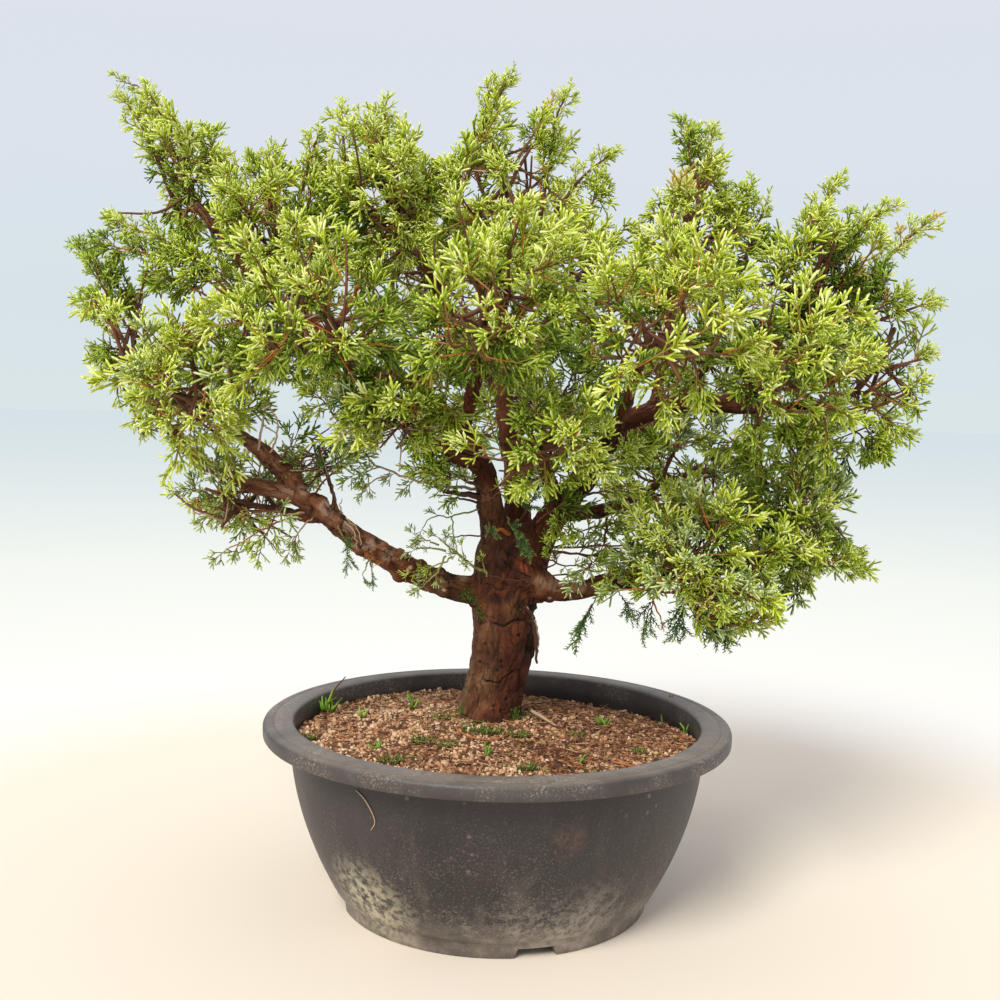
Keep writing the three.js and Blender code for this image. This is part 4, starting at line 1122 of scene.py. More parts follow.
    # Painted light in the tone: paler on the left, which faces the light, at the listed highlight places and
    # on upward faces; painted shade darkens the low trunk's right side
    paler = 0.24 * np.clip(-places[:, 0] / 60, 0, 1)
    paler = paler + 0.46 * seen_spots(HIGHLIGHT_PLACES)
    tone = 0.36 + 0.1 * (1 - big) + paler + 0.2 * (plate - 0.5) + 0.16 * wobble(on_bark, 7, 10)
    tone = tone + 0.1 * normals[:, 2] - 0.1 * from_axis * low
    store(mesh, "tone", tone)
    store(mesh, "olive", np.clip(greyed, 0, 0.9))
    store(mesh, "thick", 0.95 - 0.25 * big)
    mesh.attributes.new("along_bark", "FLOAT_VECTOR", "POINT").data.foreach_set(
        "vector", (on_bark / 1000).astype(np.float32).ravel())
    ragged = np.clip(0.35 + 1.3 * wobble(places, 2, 16) + 0.5 * wobble(places, 5, 18), 0, 1)
    moss = spots(places, [(on_wood(pixel, limbs), size) for pixel, size in MOSS_PLACES])
    store(mesh, "moss", moss * ragged)
    store(mesh, "torn", seen_spots(TORN_PLACES) * np.clip(ragged + 0.3, 0, 1))
    # The scar share also paints highlights along the top of the right bough
    store(mesh, "scar_and_highlight", np.maximum(seen_spots(SCAR_PLACES), 0.38 * seen_spots(BOUGH_HIGHLIGHTS)))
    mesh.materials.clear()
    mesh.materials.append(flaking_bark())
    mesh.shade_smooth()
    mesh.update()
    skin.name = mesh.name = "trunk_and_limbs"
    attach(skin, "root")
    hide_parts(*limbs.keys())


def relax(mesh, places, rounds):
    """Evens out the remeshed skin's steps"""
    edges = np.empty(2 * len(mesh.edges), dtype=np.int32)
    mesh.edges.foreach_get("vertices", edges)
    edges = edges.reshape(-1, 2)
    links = np.bincount(edges.ravel(), minlength=len(places))
    for _ in range(rounds):
        total = np.zeros_like(places)
        for axis in range(3):
            total[:, axis] = np.bincount(edges[:, 0], places[edges[:, 1], axis], len(places))
            total[:, axis] += np.bincount(edges[:, 1], places[edges[:, 0], axis], len(places))
        places = 0.4 * places + 0.6 * total / np.maximum(links, 1)[:, None]
    return places


def store(mesh, name, values):
    attribute = mesh.attributes.new(name, "FLOAT", "POINT")
    attribute.data.foreach_set("value", np.asarray(values, dtype=np.float32))


def spots(places, listed):
    total = np.zeros(len(places))
    for centre, size in listed:
        gap = np.linalg.norm(places - centre, axis=1) / size
        total = np.maximum(total, np.clip(1.5 - 1.5 * gap, 0, 1))
    return total


class Sprig(Heap):
    """A spray's own mesh, in lengths of the spray, with a tone for each triangle"""

    def finger(self, root, heading, length, tone, girth=1.0, tufted=False):
        """One blunt, cord-like shoot of scale leaves: three sides that close in a short tip"""
        across = unit(np.cross(heading, (0.3, 0.5, 0.8)))
        above = np.cross(heading, across)
        radius = girth * FINGER_RADIUS / SPRAY_LENGTH
        ring = np.array([math.cos(t) * across + math.sin(t) * above for t in (0, 2.094, 4.189)]) * radius
        tip = root + heading * length
        taper = 0 if tufted else min(radius * 2, 0.4 * length)
        points = np.vstack([root + ring * 0.75, tip - heading * taper + ring, tip])
        pairs = [(k, (k + 1) % 3) for k in range(3)]
        sides = [face for a, b in pairs for face in ((a, b, 3 + a), (b, 3 + b, 3 + a))]
        if tufted:
            self.put(points[:6], np.array(sides), np.array([tone] * 6))
        else:
            ends = [(3 + a, 3 + b, 6) for a, b in pairs]
            self.put(points, np.array(sides + ends), np.array([tone] * 6 + [min(tone + 1, 2)] * 3))

    def tuft(self, rng, root, heading, count, length, spread, tones):
        """Fingers that fan out round a heading, from along the last of its axis"""
        turn = rng.uniform(0, 2 * math.pi)
        across = unit(np.cross(heading, (0.2, 0.9, 0.4)))
        above = np.cross(heading, across)
        for k in range(count):
            turn += 2.4 + rng.uniform(-0.4, 0.4)
            lean = math.radians(rng.uniform(*spread)) * (0.3 if k == 0 else 1)
            sideways = math.cos(turn) * across + math.sin(turn) * above
            out = unit(math.cos(lean) * heading + math.sin(lean) * sideways)
            place = root - heading * (0.16 * k / count if k else 0)
            self.finger(place, out, length * rng.uniform(0.75, 1.2), int(rng.choice(tones)))


def spray_template(seed):
    """Shoots of scale leaves one unit long: side axes round a short one, each with a tuft of fingers"""
    rng = np.random.default_rng(seed)
    sprig = Sprig()
    x, y, z = np.eye(3)
    heading = unit(x + 0.05 * z)
    sprig.finger(0 * x, heading, 0.72, 3, 0.85, True)
    sprig.tuft(rng, heading * 0.7, heading, 6, 0.32, (18, 50), (1, 1, 2))
    for k in range(5):
        share = 0.06 + 0.62 * (k + rng.uniform()) / 5
        turn = k * 2.4 + rng.uniform(-0.6, 0.6)
        spread = math.radians(rng.uniform(30, 68)) * (1 - 0.25 * share)
        sideways = unit(math.cos(turn) * y + 0.75 * math.sin(turn) * z)
        out = unit(math.cos(spread) * x + math.sin(spread) * sideways)
        length = (0.4 - 0.16 * share) * rng.uniform(0.7, 1.2)
        sprig.finger(heading * share, out, length, 0, 0.9, True)
        end = heading * share + out * length * 0.9
        sprig.tuft(rng, end, unit(out + 0.25 * x), 4 - k % 2, 0.32, (20, 56), (0, 1, 1, 1, 2))
    return sprig.arrays()


def sprig_template(seed):
    """A feathery shoot of young needle leaves, one unit long, with shorter ones beside it"""
    rng = np.random.default_rng(90 + seed)
    heap = Heap()
    lines = [(np.zeros(3), np.array([1.0, 0, 0]), 1.0, 26)]
    for k in range(2 + seed % 3):
        out = unit(np.array([1.0, (-1) ** k * rng.uniform(0.6, 0.9), rng.uniform(-0.5, 0.5)]))
        lines.append((np.array([0.3 + 0.2 * k, 0, 0.0]), out, rng.uniform(0.35, 0.5), 12))
    for root, heading, length, count in lines:
        bend = 0.06 * rng.normal(size=3)
        path = np.array([root + heading * length * t + bend * length * t * t for t in (0, 0.5, 1)])
        heap.put(*tube(path, [0.024, 0.02, 0.012]), 0)
        headings, across, upward = frames_on(path)
        for k in range(count):
            share = 0.06 + 0.94 * k / count
            turn = k * 2.4 + rng.uniform(-0.3, 0.3)
            place = along(path, share)
            side = math.cos(turn) * across[1] + math.sin(turn) * upward[1]
            needle = unit(headings[1] * 0.9 + side) * (0.17 - 0.06 * share) * rng.uniform(0.8, 1.2)
            middle = place + needle * 0.5 + 0.01 * rng.normal(size=3)
            points, triangles = tube(np.array([place, middle, place + needle]), [0.016, 0.02, 0.007])
            without_end = triangles[(triangles != len(points) - 1).all(axis=1)]
            heap.put(points, without_end, 1 if share < 0.75 else 2)
    return heap.arrays()


class Foliage:
    """Twigs and sprays, gathered until they are joined into pieces"""

    def __init__(self):
        self.sprays = {}
        self.twigs = Heap()

    def spray(self, group, root, heading, normal, length, green, template):
        self.sprays.setdefault(group, []).append((root, heading, normal, length, green, template))

    def twig(self, path, radii, wood, count=4):
        self.twigs.put(*tube(path, radii, count), WOOD_NAMES.index(wood))


# Low masses that the photo shows lighter than the painted shade for their height would make them
LIGHTER = {
    "left_low": 0.75, "left_low_inner": 0.3, "right_low": 0.35, "right_hanging": 0.4, "front_low": 0.2,
    "left_tip": 0.25, "left_shoulder": 0.2, "left_gap": 0.3,
}
GREEN_SHARES = (0.1, 0.3, 0.58)
YELLOW_SHARE = 0.012


def settle_greens(foliage, masses):
    """Painted light and shade: bright and fresh greens high up and where the crown is open, deep ones low
    down and where it is crowded
    """
    rng = np.random.default_rng(5)
    names = [name for name in foliage.sprays if name in masses]
    ends = np.vstack([[spray[0] + spray[1] * spray[3] for spray in foliage.sprays[name]] for name in names])
    crowding = np.zeros(len(ends))
    for mass in masses.values():
        depth = np.linalg.norm((ends - mass["middle"]) / mass["reach"], axis=1)
        crowding += np.exp(-1.3 * depth**2)
    score = 0.9 * (ends[:, 2] - 300) / 200 - 1.6 * crowding + 0.16 * rng.normal(size=len(ends))
    score = score + 0.22 * wobble(ends, 24, 24)
    score += np.concatenate([np.full(len(foliage.sprays[name]), LIGHTER.get(name, 0)) for name in names])
    limits = np.quantile(score, GREEN_SHARES)
    order = [GREEN_NAMES.index(name) for name in ("deep", "mid", "fresh", "bright")]
    picked = np.array(order)[np.digitize(score, limits)]
    greys = np.concatenate([np.full(len(foliage.sprays[name]), masses[name]["grey"]) for name in names])
    picked = np.where(rng.uniform(size=len(ends)) < 0.4 * greys, GREEN_NAMES.index("grey"), picked)
    picked = np.where(rng.uniform(size=len(ends)) < YELLOW_SHARE, GREEN_NAMES.index("yellow"), picked)
    place = 0
    for name in names:
        listed = foliage.sprays[name]
        greens = picked[place:place + len(listed)]
        foliage.sprays[name] = [
            (*spray[:4], int(green), spray[5]) for spray, green in zip(listed, greens)
        ]
        place += len(listed)


def dress(foliage, rng, mass, path, scale=1.0, first=0.3, spacing=6.9, side=18.0, trim=True):
    """Side shoots with sprays on them, all round a twig, and a plume of sprays at its end"""
    run = np.linalg.norm(np.diff(path, axis=0), axis=1).sum()
    count = max(2, int(run * (1 - first) / spacing))
    turn = rng.uniform(0, 2 * math.pi)
    headings, across, upward = frames_on(path)
    for k in range(count):
        share = first + (0.94 - first) * (k + 0.5) / count
        place = along(path, share)
        level = int(share * (len(path) - 1))
        turn += 2.4 + rng.uniform(-0.4, 0.4)
        sideways = math.cos(turn) * across[level] + math.sin(turn) * upward[level]
        heading = unit(headings[level] * 0.8 + sideways + [0, 0, 0.25])
        length = side * scale * (1.15 - 0.6 * share) * rng.uniform(0.7, 1.25)
        end = place + heading * length
        clump = mass["name"] in DENSE or wobble(end[None], CLUMP_SIZE, 21)[0] > CLUMP_GAP
        if trim and (open_to_sky(end) or not clump):
            continue
        other = unit(headings[level] * 0.9 - 0.5 * sideways + rng.normal(0, 0.3, 3))
        third = unit(heading + 0.9 * unit(rng.normal(size=3)))
        grown = [
            add_spray(foliage, rng, mass, end - heading, heading, scale, trim),
            add_spray(foliage, rng, mass, place + heading * length * 0.55, other, scale * 0.85, trim),
            k % 2
            and add_spray(foliage, rng, mass, place + heading * length * 0.25, third, scale * 0.75, trim),
        ]
        if any(grown):
            reach = 1 if grown[0] else 0.6
            middle = place + heading * length * 0.5 * reach
            twig = np.array([place, middle, place + heading * length * reach])
            foliage.twig(twig, [0.5, 0.45, 0.4], "fresh_twig", 3)
    for k in range(3):
        lean = unit(headings[-1] + (0, 0.45, 0.45)[k] * unit(rng.normal(size=3)))
        root = path[-1] - headings[-1] * (1 + 2 * k)
        add_spray(foliage, rng, mass, root, lean, scale * (0.9 - 0.1 * k), trim)


def add_spray(foliage, rng, mass, place, heading, scale, trim):
    length = SPRAY_LENGTH * scale * rng.uniform(0.8, 1.15)
    normal = unit(rng.normal(size=3))
    normal = unit(normal - heading * (normal @ heading))
    end = place + heading * length
    in_sky = trim and (open_to_sky(end + 3 * heading) or open_to_sky((place + end) / 2))
    fits = inside_box(end) and not in_sky
    fits = fits and not hides_wood(end) and rng.uniform() > THINNED.get(mass["name"], 0)
    if fits and trim and mass["name"] not in DENSE and depth_in(mass, end) > 0.62:
        fits = wobble(end[None], HOLLOW_SIZE, 23)[0] > HOLLOW_LEVEL
    if fits:
        foliage.spray(mass["name"], place, heading, normal, length, None, rng.integers(TEMPLATES))
    return fits


def inside_box(point):
    low, high = (np.array(corner) * 1000 - 1000 * AXIS for corner in CAD_BOX)
    return bool((point > low).all() and (point < high).all())


# The crown's outline in the photo, and the gaps in it where the sky shows: middle and half size
CROWN_OUTLINE = [
    (106, 75), (145, 80), (172, 96), (200, 122), (228, 147), (271, 149), (300, 143), (319, 131),
    (322, 114), (341, 104), (386, 102), (405, 112), (422, 143), (452, 146), (455, 128), (478, 102),
    (494, 82), (511, 65), (524, 110), (540, 124), (549, 98), (569, 83), (577, 95), (580, 140),
    (598, 155), (615, 151), (610, 178), (592, 210), (618, 217), (650, 212), (662, 190), (682, 170),
    (679, 116), (712, 126), (730, 155), (765, 204), (785, 223), (805, 210), (820, 190), (844, 167),
    (850, 197), (870, 203), (897, 201), (942, 212), (930, 232), (915, 250), (922, 270), (951, 298),
    (935, 315), (932, 354), (940, 371), (930, 400), (915, 427), (895, 456), (881, 485), (860, 500),
    (855, 530), (878, 560), (850, 575), (818, 588), (804, 605), (783, 632), (760, 630), (734, 645),
    (700, 642), (684, 608), (662, 598), (640, 595), (612, 594), (590, 598), (574, 592), (560, 588),
    (530, 560), (480, 560), (440, 590), (379, 594), (349, 574), (309, 562), (255, 558), (230, 552),
    (204, 527), (166, 518), (158, 488), (143, 450), (102, 394), (76, 375), (68, 330), (72, 298),
    (66, 252), (72, 238), (107, 212), (140, 206), (152, 180), (147, 156), (120, 123), (128, 105),
]
SKY_GAPS = [
    (289, 414, 26, 30), (318, 424, 16, 16), (408, 515, 58, 30), (368, 478, 34, 17), (352, 500, 30, 14),
    (404, 484, 22, 8), (508, 438, 20, 12), (565, 545, 9, 9), (588, 533, 8, 7), (597, 508, 8, 7),
    (627, 536, 9, 8), (740, 416, 8, 9), (500, 360, 9, 8), (185, 302, 18, 11), (152, 245, 22, 12),
    (332, 370, 12, 8), (205, 545, 26, 20), (152, 178, 16, 16), (258, 552, 12, 10), (150, 205, 16, 7),
    (75, 275, 12, 12), (515, 135, 12, 16), (600, 205, 12, 14), (905, 270, 16, 14), (905, 320, 12, 10),
    (635, 245, 8, 8), (790, 235, 10, 8), (845, 515, 14, 14), (345, 330, 7, 6),
]
# Wood that the photo shows clear of foliage: no spray grows in front of it there
CLEAR_WOOD = [
    (262, 462, 34, 16), (290, 487, 34, 18), (330, 512, 34, 20), (505, 600, 50, 60), (500, 530, 30, 26),
    (488, 470, 13, 20), (560, 490, 20, 13), (348, 300, 12, 10), (470, 480, 18, 12),
]
CLEAR_WOOD_DEPTH = -12.0
# Masses with no hollows between their sprays
DENSE = ("right_low", "right_hanging")
# The share of a mass's sprays that is left out, where the photo shows it thin
THINNED = {"left_low": 0.45, "left_gap": 0.45, "front_low": 0.15, "left_tip": 0.1, "left_low_inner": 0.15}


def in_any(x, y, rounds):
    return any(((x - a) / w) ** 2 + ((y - b) / h) ** 2 < 1 for a, b, w, h in rounds)


def open_to_sky(point):
    """Whether the photo shows sky where this point would be seen"""
    (x, y), = project(point) * PHOTO_SIZE
    if in_any(x, y, SKY_GAPS):
        return True
    inside = False
    for (x1, y1), (x2, y2) in zip(CROWN_OUTLINE, CROWN_OUTLINE[1:] + CROWN_OUTLINE[:1]):
        if (y1 > y) != (y2 > y) and x < x1 + (y - y1) * (x2 - x1) / (y2 - y1):
            inside = not inside
    return not inside


def hides_wood(point):
    (x, y), = project(point) * PHOTO_SIZE
    return point[1] < CLEAR_WOOD_DEPTH and in_any(x, y, CLEAR_WOOD)


def grow_mass(foliage, mass):
    """The solids' rule again, carried to finer twigs: a stem, twigs along it, branchlets on them
    that reach the edge of the mass's space, and sprays all along those"""
    rng = np.random.default_rng(1009 * (mass["order"] + 1))
    bough = mass["bough"]["path"]
    heading = unit(bough[-1] - bough[-2])
    root = bough[-1] - heading * 3
    end = mass["middle"] + (mass["middle"] - root) * STEM_PAST
    bend = root + heading * STEM_BEND * np.linalg.norm(end - root)
    share = np.linspace(0, 1, 10)[:, None]
    stem = (1 - share) ** 2 * root + 2 * share * (1 - share) * bend + share**2 * end
    slight = SLIGHT_BOUGHS.get(f"{mass['name']}_bough", 1)
    base = mass["bough"]["radius"][-1] * slight
    while open_to_sky(stem[-1]) and len(stem) > 4:
        stem = stem[:-1]
    tip_radius = 1.1 if len(stem) == 10 else 0.5
    foliage.twig(stem, np.linspace(base * 0.95, tip_radius, len(stem)), "old_twig", 6)
    dress(foliage, rng, mass, stem, 0.95, 0.6)
    lines = [stem]
    start = rng.uniform(0, 2 * math.pi)
    for index in range(STEM_TWIGS):
        place = along(stem, 0.2 + 0.75 * (index + 0.5) / STEM_TWIGS)
        edge = edge_of(mass, place, even_direction(index, STEM_TWIGS, start))
        tip = place + (edge - place) * 0.6
        middle = (place + tip) / 2 + rng.normal(0, 2.5, 3) - [0, 0, 2]
        path = smooth_path([place, middle, tip], 8)
        if not open_to_sky(tip):
            foliage.twig(path, np.linspace(1.5, 0.9, 8) * slight, "twig", 5)
            dress(foliage, rng, mass, path, 0.85, 0.75)
            lines.append(path)
    places = np.vstack([line[2:] for line in lines])
    for index in range(mass["branchlets"]):
        direction = even_direction(index, mass["branchlets"], start + 1)
        furthest = edge_of(mass, mass["middle"], direction) - mass["middle"]
        reach = BRANCHLET_REACH
        while reach > 0.3 and open_to_sky(mass["middle"] + furthest * reach + direction * 7):
            reach -= 0.08
        if reach <= 0.3:
            continue
        edge = mass["middle"] + furthest * reach
        gaps = edge - places
        lengths = np.linalg.norm(gaps, axis=1)
        leans = np.arccos(np.clip(gaps @ direction / lengths, -1, 1))
        best = int(np.argmin(30 * np.abs(leans - BRANCHLET_LEAN) + np.abs(lengths - BRANCHLET_LENGTH)))
        root = places[best]
        middle = (root + edge) / 2 + rng.normal(0, 3, 3) - [0, 0, 0.08 * lengths[best]]
        path = smooth_path([root, middle, edge], 9)
        seen = [k for k in range(2, 9) if open_to_sky(path[k])]
        if seen:
            path = path[:seen[0]]
        if len(path) > 3:
            foliage.twig(path, np.linspace(0.95, 0.5, len(path)), "twig", 4)
            dress(foliage, rng, mass, path)
    for index in range(BARE_TWIGS):
        place = places[rng.integers(len(places))]
        heading = unit(rng.normal(size=3) + (place - mass["middle"]) * 0.02)
        length = rng.uniform(12, 26)
        end = place + heading * length
        if open_to_sky(end):
            continue
        path = np.array([place, place + heading * length * 0.5 + rng.normal(0, 1.2, 3), end])
        foliage.twig(path, [0.55, 0.45, 0.3], "twig" if index % 3 else "pale_twig", 3)


def grow_leading_shoots(foliage, masses):
    rng = np.random.default_rng(77)
    for points in LEADING_SHOOTS:
        path = smooth_path(points, 13)[:12]
        mass = min(masses.values(), key=lambda item: depth_in(item, path[0]))
        foliage.twig(path, np.linspace(1.3, 0.5, 12), "twig", 5)
        dress(foliage, rng, mass, path, 0.6, 0.08, 6.6, 4.0, trim=False)


FOLIAGE_PIECES = {
    "foliage_left": ("left_tip", "left_low", "left_shoulder", "left_gap"),
    "foliage_left_top": ("left_spike", "left_high", "top_left"),
    "foliage_top": ("top", "top_right", "front"),
    "foliage_right": ("upper_right", "right_tip", "right_low"),
    "foliage_right_low": ("right_hanging", "right_front", "front_low"),
    "foliage_front": ("front_left", "front_right", "left_low_inner"),
    "foliage_back_left": ("back_left", "back_top_left", "back_low"),
    "foliage_back_right": ("back_top_right", "back_right", "back_low_right"),
    "inner_shoots_left": ("inner_left",),
    "inner_shoots_right": ("inner_right",),
}


def leaf_materials():
    # Scale leaves: waxy, a little shiny, opaque; in each spray the inner shoots are painted darker as
    # painted shade, and the tips are paler, partly as painted highlight
    made = []
    for name, codes in GREENS.items():
        for part, code in zip(("inner", "shoot", "tip"), codes):
            made.append(plain(f"juniper_{name}_{part}", code, 0.42, 0.35))
    return made + [plain("juniper_spray_stalk", STALK, 0.6, 0.3)]


def join_sprays(foliage):
    templates = [spray_template(seed) for seed in range(TEMPLATES)]
    templates += [sprig_template(seed) for seed in range(SPRIGS)]
    materials = leaf_materials()
    for name, groups in FOLIAGE_PIECES.items():
        heap = Heap()
        listed = [spray for group in groups for spray in foliage.sprays.get(group, [])]
        for which, (points, triangles, tones) in enumerate(templates):
            chosen = [spray for spray in listed if spray[5] == which]
            if not chosen:
                continue
            roots, forward, normal, length, green, _ = (np.array(column) for column in zip(*chosen))
            turn = np.stack([forward, np.cross(normal, forward), normal], axis=2)
            placed = np.einsum("nij,vj->nvi", turn, points) * length[:, None, None] + roots[:, None]
            faces = triangles[None] + (np.arange(len(chosen)) * len(points))[:, None, None]
            colours = np.where(tones[None] > 2, 3 * len(GREENS), green[:, None] * 3 + tones[None])
            heap.put(placed.reshape(-1, 3), faces.reshape(-1, 3), colours.ravel())
        piece = heap.piece(name, materials)
        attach(piece, "root")
        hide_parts(*(f"{group}_foliage" for group in groups if group in MASSES))


def join_twigs(foliage):
    # Young juniper wood: orange-brown and smooth when fresh, dark and rough when old
    made = [plain(f"juniper_{name}", code, 0.7, 0.3) for name, code in WOODS.items()]
    piece = foliage.twigs.piece("twigs", made)
    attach(piece, "root")


